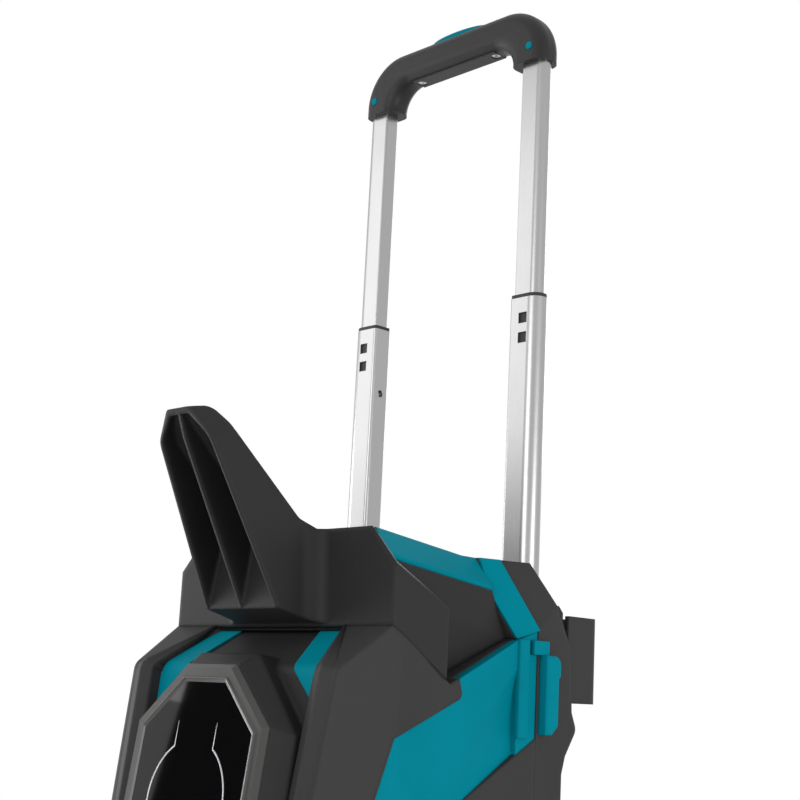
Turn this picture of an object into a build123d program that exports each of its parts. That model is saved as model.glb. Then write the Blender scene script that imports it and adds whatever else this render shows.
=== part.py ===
from build123d import *
import os

# Upright electric pressure washer: X to the right, Y to the back, Z up, origin on the floor below its middle.

# Fits
seat_gap = 0.2
slide_gap = 0.4
run_gap = 0.05

# Housing walls and half widths, which follow the width of the body
wall = 3.5
body_half = 131.0
roof_half = body_half - 29.0
cover_half = body_half - 14.0
strip_half = roof_half + 1.0
rear_roof_half = body_half - 15.0

# Side outline of the housing, from the foot of the pillars over the shoulder to the seam at the back
seam_z = 62.0
pillar_foot_y = -178.0
pillar_top = (-125.2, 446.0)
pillar_round = 12.0
shoulder = (-80.0, 479.0)
notch = (-20.0, 440.0)
strip_foot = (55.0, 478.0)
seam_y = 77.5
seam_top_z = 486.0

# Pillars: half widths at the outer edge, the ridge and the valley beside the front cover, drawn in at the foot
pillar_half = body_half - 8.5
ridge_half = body_half - 14.5
front_half = body_half - 25.0
front_top_half = body_half - 61.0
pillar_draw = 18.0
ridge_draw = 21.5
valley_depth = 11.0
skirt_depth = 14.0
cover_tuck = 5.0
crease = (body_half, -71.0, 402.0)
shoulder_half = body_half - 1.5

# Roof and rear cover
roof_front_z = 552.0
roof_rear_z = 540.0
roof_break_y = 17.0
strip_top_y = 34.5
strip_knee = (38.0, 513.0)
strip_width = 18.5
slope_top_y = 82.0
spine_top = (118.0, 474.0)
spine_foot = (121.0, 424.0)
bulge = (127.0, 410.5)
bulge_foot = (114.0, 390.0)
rear_y = 110.0
rear_step_z = 376.0
bulge_round = 8.0
vent_size = (110.0, 5.0)
vent_pitch = 14.0
vent_rows = 7
vent_z = 285.0
trim_drop = 20.0
trim_thick = 2.0
pocket_z = 493.0
pocket_draw = 10.0

# Yoke and finger of the hose hook
yoke_half = shoulder_half
yoke_corner_z = 524.0
wing_end = (body_half + 1.0, -25.0, 495.0)
finger_foot = (-117.0, 489.5)
finger_kink = (-181.5, 610.5)
finger_tip = (-190.0, 632.5)
finger_tip_rear = (-173.0, 635.5)
finger_rear_kink = (-160.0, 618.5)
finger_valley = (-97.5, 558.6)
finger_floor = (-108.0, 558.0)
finger_under_z = 480.0
finger_foot_half = 43.5
finger_kink_half = 32.0
finger_tip_half = 14.0
finger_round = 16.0
finger_rib = 2.5
finger_crown_round = 10.0
finger_valley_round = 12.0
finger_kink_round = 20.0
finger_tip_round = 6.0
groove_scale = 1.4

# Octagonal hood, bezel and control panel: half width, half top edge, half height, shoulder height
panel_centre_z = 326.0
panel_size = (67.4, 25.5, 107.0, 69.6)
bezel_size = (77.6, 29.5, 118.0, 74.7)
hood_size = (92.0, 35.0, 129.0, 71.5)
hood_reach = 20.0
hood_step = 11.5
hood_rise = 24.0
bezel_thick = 5.0
panel_thick = 5.0
bezel_bevel = 3.5

# Rotary switch
knob_z = 285.0
knob_radius = 27.0
knob_height = 9.0
knob_grip_height = 19.0
knob_grip_width = 13.0
spindle_radius = 5.0
switch_box_size = (46.0, 30.0, 52.0)

# Accent strips beside the hood, as seen from the front
accent_points = ((47.0, 476.0), (92.0, 476.0), (112.0, 446.0), (105.5, 409.0), (65.0, 445.0))
accent_thick = 1.6

# Side panels, recessed into the side shells, with a guide rib
panel_recess = 2.2
panel_lip = 8.0
side_panel_thick = 1.6
side_panel_low = (-106.0, 296.0)
side_panel_front = (-74.0, 400.0)
side_panel_nose = (-6.0, 431.0)
side_panel_corner = (-10.5, 446.0)
side_panel_round = 5.0
side_panel_rear_z = 403.0
guide_rib = (54.5, 66.0)
guide_rib_proud = 3.0
guide_rib_top_z = 478.0
scoop_radius = 110.0
scoop_depth = 5.5
scoop_foot_z = 404.0
scoop_way = (-0.07, 0.8, 0.6)
scoop_length = 200.0
rail_y = (80.0, 95.0)
rail_z = (406.0, 467.0)
rail_proud = 9.0
rail_round = 7.0
rail_head = (2.0, 16.0)
rail_tab_y = (69.0, 87.0)
rail_tab_top_z = 478.0
rail_tab_proud = 4.0

# Lance holder at the back, on the right
holder_x = (body_half - 39.0, body_half - 3.0)
holder_back_y = 157.0
holder_z = (431.5, 500.5)
holder_wall = 4.0
holder_round = 8.0
holder_bevel = 3.0
holder_inner_top_z = 511.0

# Telescopic handle: D-shaped tubes, flat side inwards
tube_x = body_half - 33.0
tube_y = 93.0
mid_size = (30.0, 20.0)
mid_wall = 1.5
inner_size = (24.4, 15.0)
inner_wall = 1.2
guide_wall = 1.5
tube_corner = 3.0
pin_low_z = 565.0
stage_one = 223.0
stage_two = 203.0
mid_top_drop = 23.0
mid_length = 360.0
inner_length = 307.0
inner_above_pin = 5.0
guide_foot_z = 108.0
guide_top_z = 476.0
collar_top_z = 512.0
collar_back_y = 109.5
collar_wall = 4.0
flange_thick = 3.0
flange_rim = -0.3
sleeve_length = 45.0
window = 9.0
window_drops = (18.0, 35.0)
lock_hole_radius = 3.2
mid_lock_height = 26.0
inner_lock_height = 30.0
lock_pin_radius = 2.9
lock_pin_length = 8.0
clamp_height = 20.0
clamp_levels = (190.0, 340.0)

# Grip
grip_half = tube_x + 14.5
grip_leg = 38.0
grip_top = 41.0
grip_under = 9.0
grip_leg_drop = 13.5
grip_depth = 28.0
grip_outer_round = 46.0
grip_edge_round = 11.0
grip_wall = 4.0
socket_top = 6.0
under_plate = (104.0, 16.0, 2.6)
grip_pin_radius = 3.5
button_size = (68.0, 17.0)
button_proud = 3.0
button_flange = 3.0
button_travel = 3.5
carrier_height = 6.0
carrier_width = 7.0
rod_radius = 2.0

# Base, feet, axle and wheels
base_z = 18.0
base_half = body_half - 2.0
base_side_y = -45.0
base_wall = 4.0
base_chamfer = 4.0
foot_radius = 17.0
foot_x = 82.0
foot_y = -146.0
post_size = (26.0, 26.0)
axle_y = 98.0
axle_z = 92.0
axle_radius = 6.0
wheel_radius = axle_z
wheel_in_x = body_half + 3.5
wheel_width = 34.0
hub_length = 27.5
rim_radius = 72.0
rim_wall = 5.0
tyre_round = 9.0
hub_radius = 15.0
web_thick = 6.0
spoke_holes = 6
clip_thick = 2.0
cap_radius = 20.0
cap_thick = 4.5
cap_wall = 3.0

# Motor and pump on a vertical axis
motor_y = -30.0
cradle_z = 84.0
cradle_pitch = 76.0
cradle_post = 22.0
damper_radius = 10.0
damper_height = 12.0
head_half = 50.0
head_height = 54.0
head_chamfer = 8.0
pump_radius = 50.0
pump_height = 65.0
motor_radius = 52.0
motor_height = 155.0
motor_wall = 3.0
stator_bore = 32.0
air_gap = 0.8
stack_height = 110.0
shaft_radius = 6.0
cap_height = 12.0
bearing_radius = 13.0
bearing_height = 8.0
fan_radius = 44.0
fan_height = 14.0
fan_blades = 9
blade_thick = 2.5
swash_radius = 34.0
swash_thick = 14.0
swash_drop = 8.0
piston_count = 3
piston_circle = 24.0
piston_radius = 6.0
piston_length = 48.0
inlet_x = -40.0
outlet_x = 30.0
port_z = 124.0
inlet_end_y = rear_y + 34.0
outlet_end_y = -186.0
inlet_radius = 9.0
outlet_radius = 11.0
port_bore = 5.0
nut_length = 6.0
nut_rim = 4.0
gland_z = 180.0
gland_radius = 9.0
valve_radius = 8.0
valve_length = 26.0
lug_x = (32.0, 64.0)
lug_z = 72.0
screw_radius = 2.0
screw_head_radius = 4.0

os.makedirs("parts", exist_ok=True)


def save(piece, name):
    """Label a finished piece and write it."""
    piece.part.label = name
    export_step(piece.part, f"parts/{name}.step")


def save_pair(piece, name):
    """Write a right-hand piece and its mirror image as two pieces."""
    save(piece, f"{name}_right")
    with BuildPart() as twin:
        mirror(piece.part, about=Plane.YZ)
    save(twin, f"{name}_left")


def save_both(piece, name):
    """Write a right-hand piece and its mirror image as one group."""
    with BuildPart() as group:
        add(piece.part)
        mirror(piece.part, about=Plane.YZ)
    save(group, name)


def face_plane(first, second, third, inside):
    """Plane through three points whose normal points away from an inner point."""
    along = Vector(*second) - Vector(*first)
    normal = along.cross(Vector(*third) - Vector(*first))
    if normal.dot(Vector(*inside) - Vector(*first)) > 0:
        normal = normal * -1
    return Plane(origin=first, x_dir=along, z_dir=normal)


def prism(points, low_x, high_x, rounds=()):
    """Solid of a side outline between two widths, with the named corners rounded."""
    with BuildPart() as block:
        with BuildSketch(Plane.YZ.offset(low_x)) as outline:
            with BuildLine():
                Polyline(*points, close=True)
            make_face()
            for corner, radius in rounds:
                fillet(outline.vertices().sort_by_distance(corner)[0], radius)
        extrude(amount=high_x - low_x)
    return block.part


def d_bar(size, low_z, high_z, corner):
    """Solid bar on the right-hand tube axis: small rounds on the inner side, a half round outer side."""
    width, depth = size
    round_x = (width - depth) / 2
    with BuildPart() as bar:
        with BuildSketch(Plane((tube_x, tube_y, low_z))) as section:
            with Locations((round_x, 0)):
                Rectangle(width / 2 + round_x, depth, align=(Align.MAX, Align.CENTER))
                Circle(depth / 2)
            fillet(section.vertices().group_by(Axis.X)[0], corner)
        extrude(amount=high_z - low_z)
    return bar.part


def grown(size, amount):
    """Section size with all its sides moved outwards."""
    return (size[0] + 2 * amount, size[1] + 2 * amount)


# Planes that bound the pillars and shoulders on the right-hand side
centre = (0.0, 0.0, 250.0)
pillar_foot_half = pillar_half - pillar_draw
pillar_foot_point = (pillar_foot_half, pillar_foot_y, seam_z)
pillar_top_point = (pillar_half, *pillar_top)
pillar_plane = face_plane(pillar_top_point, pillar_foot_point, crease, centre)
shoulder_plane = face_plane(pillar_top_point, crease, (shoulder_half, *shoulder), centre)
ridge_plane = face_plane(
    (ridge_half, *pillar_top),
    (ridge_half - ridge_draw, pillar_foot_y, seam_z),
    (front_half, pillar_top[0] + valley_depth, pillar_top[1]),
    centre,
)

side_points = (
    (pillar_foot_y, seam_z),
    pillar_top,
    shoulder,
    notch,
    strip_foot,
    (seam_y, seam_top_z),
    (seam_y, seam_z),
)


scoop_plane = Plane(
    origin=(body_half + scoop_radius - scoop_depth, guide_rib[0], scoop_foot_z),
    z_dir=scoop_way,
)
scoop_floor = Plane(
    origin=(0, *side_panel_low),
    x_dir=(1, 0, 0),
    z_dir=(0, side_panel_low[1] - side_panel_rear_z, seam_y - side_panel_low[0]),
)


def scoop_block(inset):
    """Shallow round hollow that deepens towards the guide rib, with its faces moved inwards."""
    with BuildPart() as block:
        with BuildSketch(scoop_plane):
            Circle(scoop_radius + inset)
        extrude(amount=scoop_length, both=True)
        split(bisect_by=Plane.XZ.offset(-guide_rib[0] - inset), keep=Keep.TOP)
        split(bisect_by=scoop_floor.offset(-inset), keep=Keep.TOP)
    return block.part


def side_block(inset):
    """Right-hand side of the housing with its faces moved inwards."""
    with BuildPart() as block:
        with BuildSketch(Plane.YZ.offset(front_top_half)) as outline:
            with BuildLine():
                Polyline(*side_points, close=True)
            make_face()
            fillet(outline.vertices().sort_by_distance(pillar_top)[0], pillar_round)
            if inset:
                offset(amount=-inset, kind=Kind.INTERSECTION)
        extrude(amount=body_half - front_top_half - inset)
        for bound in (pillar_plane, shoulder_plane, ridge_plane):
            split(bisect_by=bound.offset(-inset), keep=Keep.BOTTOM)
        add(scoop_block(inset), mode=Mode.SUBTRACT)
    return block.part


front_foot_half = front_half - ridge_draw
front_outline = (
    (front_foot_half, seam_z),
    (front_half, pillar_top[1]),
    (front_top_half, shoulder[1]),
    (front_top_half, roof_front_z),
)
cover_back_y = shoulder[0] + cover_tuck


def front_mask(inset, back_y):
    """Room inside the front cover's outline, moved inwards, in front of a given depth."""
    with BuildPart() as block:
        with BuildSketch(Plane.XZ.offset(-back_y)):
            Polygon(*front_outline, *((-x, z) for x, z in reversed(front_outline)), align=None)
            if inset:
                offset(amount=-inset, kind=Kind.INTERSECTION)
        extrude(amount=back_y - 2 * pillar_foot_y)
    return block.part


# Side shells with the recess for the side panel
side_panel_points = (
    strip_foot,
    (seam_y, seam_top_z),
    (seam_y, side_panel_rear_z),
    side_panel_low,
    side_panel_front,
    side_panel_nose,
    side_panel_corner,
)
side_panel_zone = prism(
    side_panel_points, body_half - panel_lip, body_half, ((side_panel_nose, side_panel_round),)
)
recess_floor = side_block(panel_recess)

with BuildPart() as recess:
    add(side_panel_zone)
    add(recess_floor, mode=Mode.SUBTRACT)

with BuildPart() as side_shell:
    add(side_block(0))
    add(side_block(wall), mode=Mode.SUBTRACT)
    add(front_mask(0, cover_back_y + seat_gap), mode=Mode.SUBTRACT)
    add(recess.part, mode=Mode.SUBTRACT)
save_pair(side_shell, "side_shell")

# Side panels with the guide rib beside the rail
with BuildPart() as side_panel:
    add(side_panel_zone)
    add(side_block(panel_recess - side_panel_thick), mode=Mode.INTERSECT)
    add(recess_floor, mode=Mode.SUBTRACT)
    with BuildSketch(Plane.YZ.offset(body_half - panel_recess)):
        with Locations(((guide_rib[0] + guide_rib[1]) / 2, (side_panel_rear_z + guide_rib_top_z) / 2)):
            Rectangle(guide_rib[1] - guide_rib[0], guide_rib_top_z - side_panel_rear_z)
    extrude(amount=panel_recess + guide_rib_proud)
    chamfer(side_panel.edges().filter_by(Axis.Z).group_by(Axis.X)[-1], guide_rib_proud / 2)
save_pair(side_panel, "side_panel")

# Front cover: a bent plate with side skirts between the pillars, with a hollow octagonal hood
lean_run = pillar_top[0] - pillar_foot_y
lean_rise = pillar_top[1] - seam_z
valley_top = (pillar_top[0] + valley_depth, pillar_top[1])
slope_run = shoulder[0] - pillar_top[0]
slope_rise = shoulder[1] - pillar_top[1]
front_points = (
    (valley_top[0] - 2 * lean_run, valley_top[1] - 2 * lean_rise),
    valley_top,
    (valley_top[0] + 2 * slope_run, valley_top[1] + 2 * slope_rise),
    (valley_top[0] + 2 * slope_run, valley_top[1] - 2 * lean_rise),
)
hood_plane = Plane(
    origin=(0, valley_top[0] - lean_run / lean_rise * (pillar_top[1] - panel_centre_z), panel_centre_z),
    x_dir=(1, 0, 0),
    z_dir=(0, -lean_rise, lean_run),
)


def front_block(grow, inset):
    """Body behind the front cover's faces, moved outwards, and inside its outline, moved inwards."""
    with BuildPart() as block:
        with BuildSketch(Plane.YZ) as outline:
            with BuildLine():
                Polyline(*front_points, close=True)
            make_face()
            if grow > -pillar_round:
                fillet(outline.vertices().sort_by_distance(valley_top)[0], pillar_round)
            if grow:
                offset(amount=grow, kind=Kind.INTERSECTION)
        extrude(amount=body_half, both=True)
        add(front_mask(inset, cover_back_y), mode=Mode.INTERSECT)
    return block.part


def octagon(size):
    """Tall octagon from its half width, half top edge, half height and shoulder height."""
    half, top_half, half_height, knee = size
    corner = ((half, knee), (top_half, half_height))
    Polygon(
        (half, -knee),
        *corner,
        *((-x, y) for x, y in reversed(corner)),
        *((-x, -y) for x, y in corner),
        (top_half, -half_height),
        align=None,
    )


def hood_block(inset, height):
    """Octagonal hood through the front cover: straight walls with a slanted front, moved inwards."""
    with BuildPart() as block:
        with BuildSketch(hood_plane.offset(-hood_reach)):
            octagon([length - inset for length in hood_size])
        extrude(amount=hood_reach + hood_step)
        with BuildSketch(hood_plane.offset(hood_step)):
            octagon([length - inset for length in hood_size])
        with BuildSketch(hood_plane.offset(height)):
            octagon([length - inset for length in bezel_size])
        loft(ruled=True)
    return block.part


knob_spot = hood_plane.to_local_coords(Vector(0, hood_plane.origin.Y, knob_z)).Y
spindle_hole = spindle_radius + slide_gap
panel_top = hood_rise + panel_thick

with BuildPart() as front_cover:
    add(front_block(0, seat_gap))
    add(hood_block(0, hood_rise))
    add(front_block(-wall, seat_gap + wall), mode=Mode.SUBTRACT)
    add(front_block(-skirt_depth, seat_gap), mode=Mode.SUBTRACT)
    add(hood_block(wall, hood_rise - wall), mode=Mode.SUBTRACT)
    with BuildSketch(hood_plane):
        with Locations((0, knob_spot)):
            Circle(spindle_hole)
    extrude(amount=panel_top, mode=Mode.SUBTRACT)
    with BuildSketch(Plane.XZ.offset(-cover_back_y)):
        with Locations((outlet_x, port_z)):
            Circle(outlet_radius + slide_gap)
    extrude(amount=-pillar_foot_y, mode=Mode.SUBTRACT)
save(front_cover, "front_cover")

# Bezel ring round the control panel
with BuildPart() as bezel:
    with BuildSketch(hood_plane.offset(hood_rise)):
        octagon(bezel_size)
    extrude(amount=bezel_thick)
    chamfer(bezel.faces().sort_by_distance(hood_plane.offset(panel_top).origin)[0].edges(), bezel_bevel)
    with BuildSketch(hood_plane.offset(hood_rise)):
        octagon([length + seat_gap for length in panel_size])
    extrude(amount=bezel_thick, mode=Mode.SUBTRACT)
save(bezel, "bezel")

# Gloss control panel with a hole for the switch spindle
with BuildPart() as control_panel:
    with BuildSketch(hood_plane.offset(hood_rise)):
        octagon(panel_size)
        with Locations((0, knob_spot)):
            Circle(spindle_hole, mode=Mode.SUBTRACT)
    extrude(amount=panel_thick)
save(control_panel, "control_panel")

# Rotary switch: box behind the hood and knob with its spindle
box_top = hood_rise - wall
box_floor = box_top - switch_box_size[1]
with BuildPart() as switch_box:
    with BuildSketch(hood_plane.offset(box_floor)):
        with Locations((0, knob_spot)):
            Rectangle(switch_box_size[0], switch_box_size[2])
    extrude(amount=switch_box_size[1])
    with BuildSketch(hood_plane.offset(box_floor + wall)):
        with Locations((0, knob_spot)):
            Circle(spindle_radius + run_gap)
    extrude(amount=switch_box_size[1], mode=Mode.SUBTRACT)
save(switch_box, "switch_box")

with BuildPart() as switch_knob:
    with BuildSketch(hood_plane.offset(box_floor + 2 * wall)):
        with Locations((0, knob_spot)):
            Circle(spindle_radius)
    extrude(amount=panel_top - box_floor - 2 * wall + seat_gap)
    with BuildSketch(hood_plane.offset(panel_top + seat_gap)):
        with Locations((0, knob_spot)):
            Circle(knob_radius)
    extrude(amount=knob_height, taper=8)
    with BuildSketch(hood_plane.offset(panel_top + seat_gap)):
        with Locations((0, knob_spot)):
            SlotOverall(2 * knob_radius - knob_height, knob_grip_width, rotation=90)
    extrude(amount=knob_grip_height, taper=4)
save(switch_knob, "switch_knob")

# Accent strips on the front cover, beside the hood
with BuildPart() as accent_strip:
    with BuildSketch(Plane.XZ.offset(-shoulder[0] - wall + seat_gap)):
        with BuildLine():
            Polyline(*accent_points, close=True)
        make_face()
    extrude(amount=-pillar_foot_y)
    add(front_block(accent_thick, seat_gap), mode=Mode.INTERSECT)
    add(front_block(0, 0), mode=Mode.SUBTRACT)
    add(hood_block(-seat_gap, hood_rise), mode=Mode.SUBTRACT)
save_both(accent_strip, "accent_strips")

# Rear cover: side outline with the rear slope, the spine and the bulge below it
lean_plane = face_plane(
    (strip_half, strip_top_y, roof_rear_z),
    (rear_roof_half, slope_top_y, roof_rear_z),
    (body_half, seam_y, seam_top_z),
    centre,
)
rear_points = (
    (seam_y + seat_gap, seam_z),
    (rear_y, seam_z),
    (rear_y, rear_step_z),
    bulge_foot,
    bulge,
    spine_foot,
    spine_top,
    (slope_top_y, roof_rear_z),
    (strip_top_y, roof_rear_z),
    strip_knee,
    (strip_foot[0], strip_foot[1] + seat_gap),
    (seam_y + seat_gap, seam_top_z + seat_gap),
)


def rear_block(inset):
    """Body of the rear cover with its faces moved inwards."""
    with BuildPart() as block:
        with BuildSketch(Plane.YZ) as outline:
            with BuildLine():
                Polyline(*rear_points, close=True)
            make_face()
            fillet(outline.vertices().sort_by_distance(bulge)[0], bulge_round)
            fillet(outline.vertices().sort_by_distance(bulge_foot)[0], bulge_round)
            if inset:
                offset(amount=-inset, kind=Kind.INTERSECTION)
        extrude(amount=body_half - inset)
        split(bisect_by=lean_plane.offset(-inset), keep=Keep.BOTTOM)
        mirror(about=Plane.YZ)
    return block.part


front_mouth = prism(
    (
        (seam_y, seam_z - wall),
        (rear_y - wall, seam_z - wall),
        (rear_y - wall, seam_z + 2 * wall),
        (seam_y + 2 * wall, seam_top_z - 2 * wall),
        (seam_y, seam_top_z - 2 * wall),
    ),
    wall - body_half,
    body_half - wall,
)
mid_passage = d_bar(grown(mid_size, slide_gap), guide_top_z, roof_front_z, tube_corner)

with BuildPart() as rear_cover:
    add(rear_block(0))
    add(rear_block(wall), mode=Mode.SUBTRACT)
    add(front_mouth, mode=Mode.SUBTRACT)
    add(mid_passage, mode=Mode.SUBTRACT)
    add(mirror(mid_passage, about=Plane.YZ, mode=Mode.PRIVATE), mode=Mode.SUBTRACT)
    with BuildSketch(Plane.YZ.offset(-body_half)):
        with Locations((axle_y, axle_z)):
            Circle(axle_radius + slide_gap)
    extrude(amount=2 * body_half, mode=Mode.SUBTRACT)
    with BuildSketch(Plane.XZ.offset(-bulge[0])):
        with Locations((inlet_x, port_z)):
            Circle(inlet_radius + slide_gap)
        with Locations((-inlet_x, gland_z)):
            Circle(gland_radius + seat_gap)
        with Locations(*((side * x, lug_z) for x in lug_x for side in (-1, 1))):
            Circle(screw_radius + seat_gap)
        with Locations((0, vent_z)):
            with GridLocations(vent_size[0], vent_pitch, 1, vent_rows):
                SlotOverall(*vent_size)
    extrude(amount=bulge[0] - seam_y, mode=Mode.SUBTRACT)
save(rear_cover, "rear_cover")

# Top cover between the yoke and the rear cover, with the side pockets' inner walls
cover_front_y = shoulder[0] + wall + seat_gap
roof_fall = (roof_front_z - roof_rear_z) / (roof_break_y - shoulder[0])
rim_fall = (shoulder[1] - notch[1]) / (notch[0] - shoulder[0])
cover_points = (
    (cover_front_y, shoulder[1] - rim_fall * (cover_front_y - shoulder[0]) + seat_gap),
    (notch[0], notch[1] + seat_gap),
    (strip_foot[0] - seat_gap, strip_foot[1] + seat_gap),
    (strip_knee[0] - seat_gap, strip_knee[1]),
    (strip_top_y - seat_gap, roof_rear_z),
    (roof_break_y, roof_rear_z),
    (cover_front_y, roof_front_z - roof_fall * (cover_front_y - shoulder[0])),
)
trim_plane = face_plane(
    (roof_half, shoulder[0], roof_front_z),
    (roof_half, roof_break_y, roof_rear_z),
    (cover_half, shoulder[0], roof_front_z - trim_drop),
    centre,
)
pocket_plane = face_plane(
    (cover_half, notch[0], pocket_z),
    (cover_half, *strip_foot),
    (cover_half - pocket_draw, *notch),
    centre,
)


def cover_block(inset):
    """Body of the top cover with its faces moved inwards."""
    with BuildPart() as block:
        with BuildSketch(Plane.YZ):
            with BuildLine():
                Polyline(*cover_points, close=True)
            make_face()
            if inset:
                offset(amount=-inset, kind=Kind.INTERSECTION)
        extrude(amount=cover_half - inset)
        split(bisect_by=trim_plane.offset(-trim_thick - inset), keep=Keep.BOTTOM)
        split(bisect_by=pocket_plane.offset(-inset), keep=Keep.BOTTOM)
        mirror(about=Plane.YZ)
    return block.part


cover_hollow = cover_block(wall)
with BuildPart() as top_cover:
    add(cover_block(0))
    add(cover_hollow, mode=Mode.SUBTRACT)
    add(cover_hollow.moved(Location((0, 0, -2 * wall))), mode=Mode.SUBTRACT)
save(top_cover, "top_cover")

# Roof trims on the slanted edges of the top cover
with BuildPart() as roof_trim:
    add(prism(cover_points, roof_half - 2 * trim_thick, cover_half))
    split(bisect_by=trim_plane, keep=Keep.BOTTOM)
    split(bisect_by=trim_plane.offset(-trim_thick), keep=Keep.TOP)
save_both(roof_trim, "roof_trims")

# Rear trims along the front edge of the rear cover
rear_trim_points = (
    (strip_top_y, roof_rear_z),
    (strip_top_y + strip_width, roof_rear_z),
    (seam_y, seam_top_z),
    strip_foot,
    strip_knee,
)
with BuildPart() as rear_trim:
    add(prism(rear_trim_points, roof_half - 2 * trim_thick, body_half + 2 * trim_thick))
    split(bisect_by=lean_plane, keep=Keep.TOP)
    split(bisect_by=lean_plane.offset(trim_thick), keep=Keep.BOTTOM)
save_both(rear_trim, "rear_trims")

# Hose hook: a yoke round the front of the top cover and a ribbed finger that rises from it
corner_plane = face_plane(
    (roof_half, shoulder[0], roof_front_z),
    (yoke_half, shoulder[0], yoke_corner_z),
    wing_end,
    centre,
)
rim_plane = face_plane(
    (0, shoulder[0], shoulder[1] + seat_gap),
    (0, notch[0], notch[1] + seat_gap),
    (body_half, notch[0], notch[1] + seat_gap),
    (0, 0, roof_front_z),
)
wing_run = (wing_end[0] - yoke_half) / (wing_end[1] - shoulder[0])


def yoke_block(inset):
    """Body of the yoke with its front and sides moved inwards."""
    front_y = shoulder[0] + inset
    back_y = wing_end[1] + inset
    with BuildPart() as block:
        with BuildSketch(Plane.XY.offset(notch[1])):
            Polygon(
                (0, front_y),
                (yoke_half - inset + wing_run * inset, front_y),
                (yoke_half - inset + wing_run * (back_y - shoulder[0]), back_y),
                (0, back_y),
                align=None,
            )
        extrude(amount=roof_front_z - notch[1])
        split(bisect_by=corner_plane, keep=Keep.BOTTOM)
        split(bisect_by=rim_plane, keep=Keep.BOTTOM)
        mirror(about=Plane.YZ)
    return block.part


# The finger's outline is drawn in its own leaning plane and cut to its side outline
finger_up = Vector(0, finger_kink[0] - finger_foot[0], finger_kink[1] - finger_foot[1])
finger_length = finger_up.length
tip_length = (Vector(0, *finger_tip) - Vector(0, *finger_kink)).dot(finger_up.normalized())
finger_plane = Plane(
    origin=(0, *finger_foot),
    x_dir=(1, 0, 0),
    z_dir=Vector(1, 0, 0).cross(finger_up),
)
finger_taper = (finger_foot_half - finger_kink_half) / finger_length
finger_points = (
    finger_foot,
    finger_kink,
    finger_tip,
    finger_tip_rear,
    finger_rear_kink,
    finger_valley,
    (shoulder[0] + wall / 2, roof_front_z),
    (shoulder[0] + wall / 2, finger_under_z),
)
groove_points = (
    finger_foot,
    tuple(foot + groove_scale * (top - foot) for foot, top in zip(finger_foot, finger_kink)),
    tuple(
        floor + groove_scale * (kink - valley)
        for floor, kink, valley in zip(finger_floor, finger_rear_kink, finger_valley)
    ),
    finger_floor,
)
finger_rounds = ((finger_tip_rear, finger_crown_round), (finger_valley, finger_valley_round))


def finger_block(points, inset, rounds):
    """Finger between its tapering sides, moved inwards, and a side outline with rounded corners."""
    tail = finger_length
    tail_half = finger_foot_half + finger_taper * tail - inset
    top = finger_length + tip_length - 2 * inset
    corner = ((finger_kink_half - inset, finger_length), (finger_tip_half - inset, top))
    with BuildPart() as block:
        with BuildSketch(finger_plane) as outline:
            Polygon(
                (tail_half, -tail),
                *corner,
                *((-x, y) for x, y in reversed(corner)),
                (-tail_half, -tail),
                align=None,
            )
            fillet(outline.vertices().group_by(Axis.Y)[-1], finger_tip_round - inset)
            for side in (-1, 1):
                kink_spot = (side * corner[0][0], finger_length)
                fillet(outline.vertices().sort_by_distance(kink_spot)[0], finger_kink_round - inset)
        extrude(amount=finger_length, both=True)
        add(prism(points, -yoke_half, yoke_half, rounds), mode=Mode.INTERSECT)
    return block.part


with BuildPart() as grooves:
    add(finger_block(groove_points, finger_rib, ()))
    Box(finger_rib, -4 * finger_kink[0], 4 * finger_kink[1], mode=Mode.SUBTRACT)

with BuildPart() as hose_hook:
    add(yoke_block(0))
    add(yoke_block(wall), mode=Mode.SUBTRACT)
    add(finger_block(finger_points, 0, finger_rounds))
    add(grooves.part, mode=Mode.SUBTRACT)
    root_edges = (
        hose_hook.edges()
        .filter_by_position(Axis.Y, shoulder[0] - seat_gap, shoulder[0] + seat_gap)
        .filter_by(lambda edge: finger_kink_half < abs(edge.center().X) < roof_half)
        .filter_by(lambda edge: abs(edge.tangent_at(0.5).Z) > 0.7)
    )
    fillet(root_edges, finger_round)
save(hose_hook, "hose_hook")

# Accessory rails on the sides of the rear cover
head_y = rail_y[1] + rail_head[0]
head_z = rail_z[1] - rail_head[1]
rail_points = (
    (rail_y[0], rail_z[0]),
    (rail_y[1], rail_z[0]),
    (rail_y[1], head_z - rail_head[0]),
    (head_y, head_z),
    (head_y, rail_z[1]),
    (rail_y[0], rail_z[1]),
)
with BuildPart() as accessory_rail:
    with BuildSketch(Plane.YZ.offset(body_half)) as rail_outline:
        Polygon(*rail_points, align=None)
        fillet(rail_outline.vertices().sort_by_distance((head_y, rail_z[1]))[0], rail_round)
        chamfer(rail_outline.vertices().sort_by_distance((rail_y[1], rail_z[0]))[0], rail_round)
    extrude(amount=rail_proud)
    chamfer(accessory_rail.faces().sort_by(Axis.X)[-1].edges(), rail_proud / 6)
    with BuildSketch(Plane.YZ.offset(body_half)):
        with Locations(((rail_tab_y[0] + rail_tab_y[1]) / 2, rail_tab_top_z)):
            Rectangle(
                rail_tab_y[1] - rail_tab_y[0],
                rail_tab_top_z - rail_z[1],
                align=(Align.CENTER, Align.MAX),
            )
    extrude(amount=rail_tab_proud)
save_both(accessory_rail, "accessory_rails")

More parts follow.
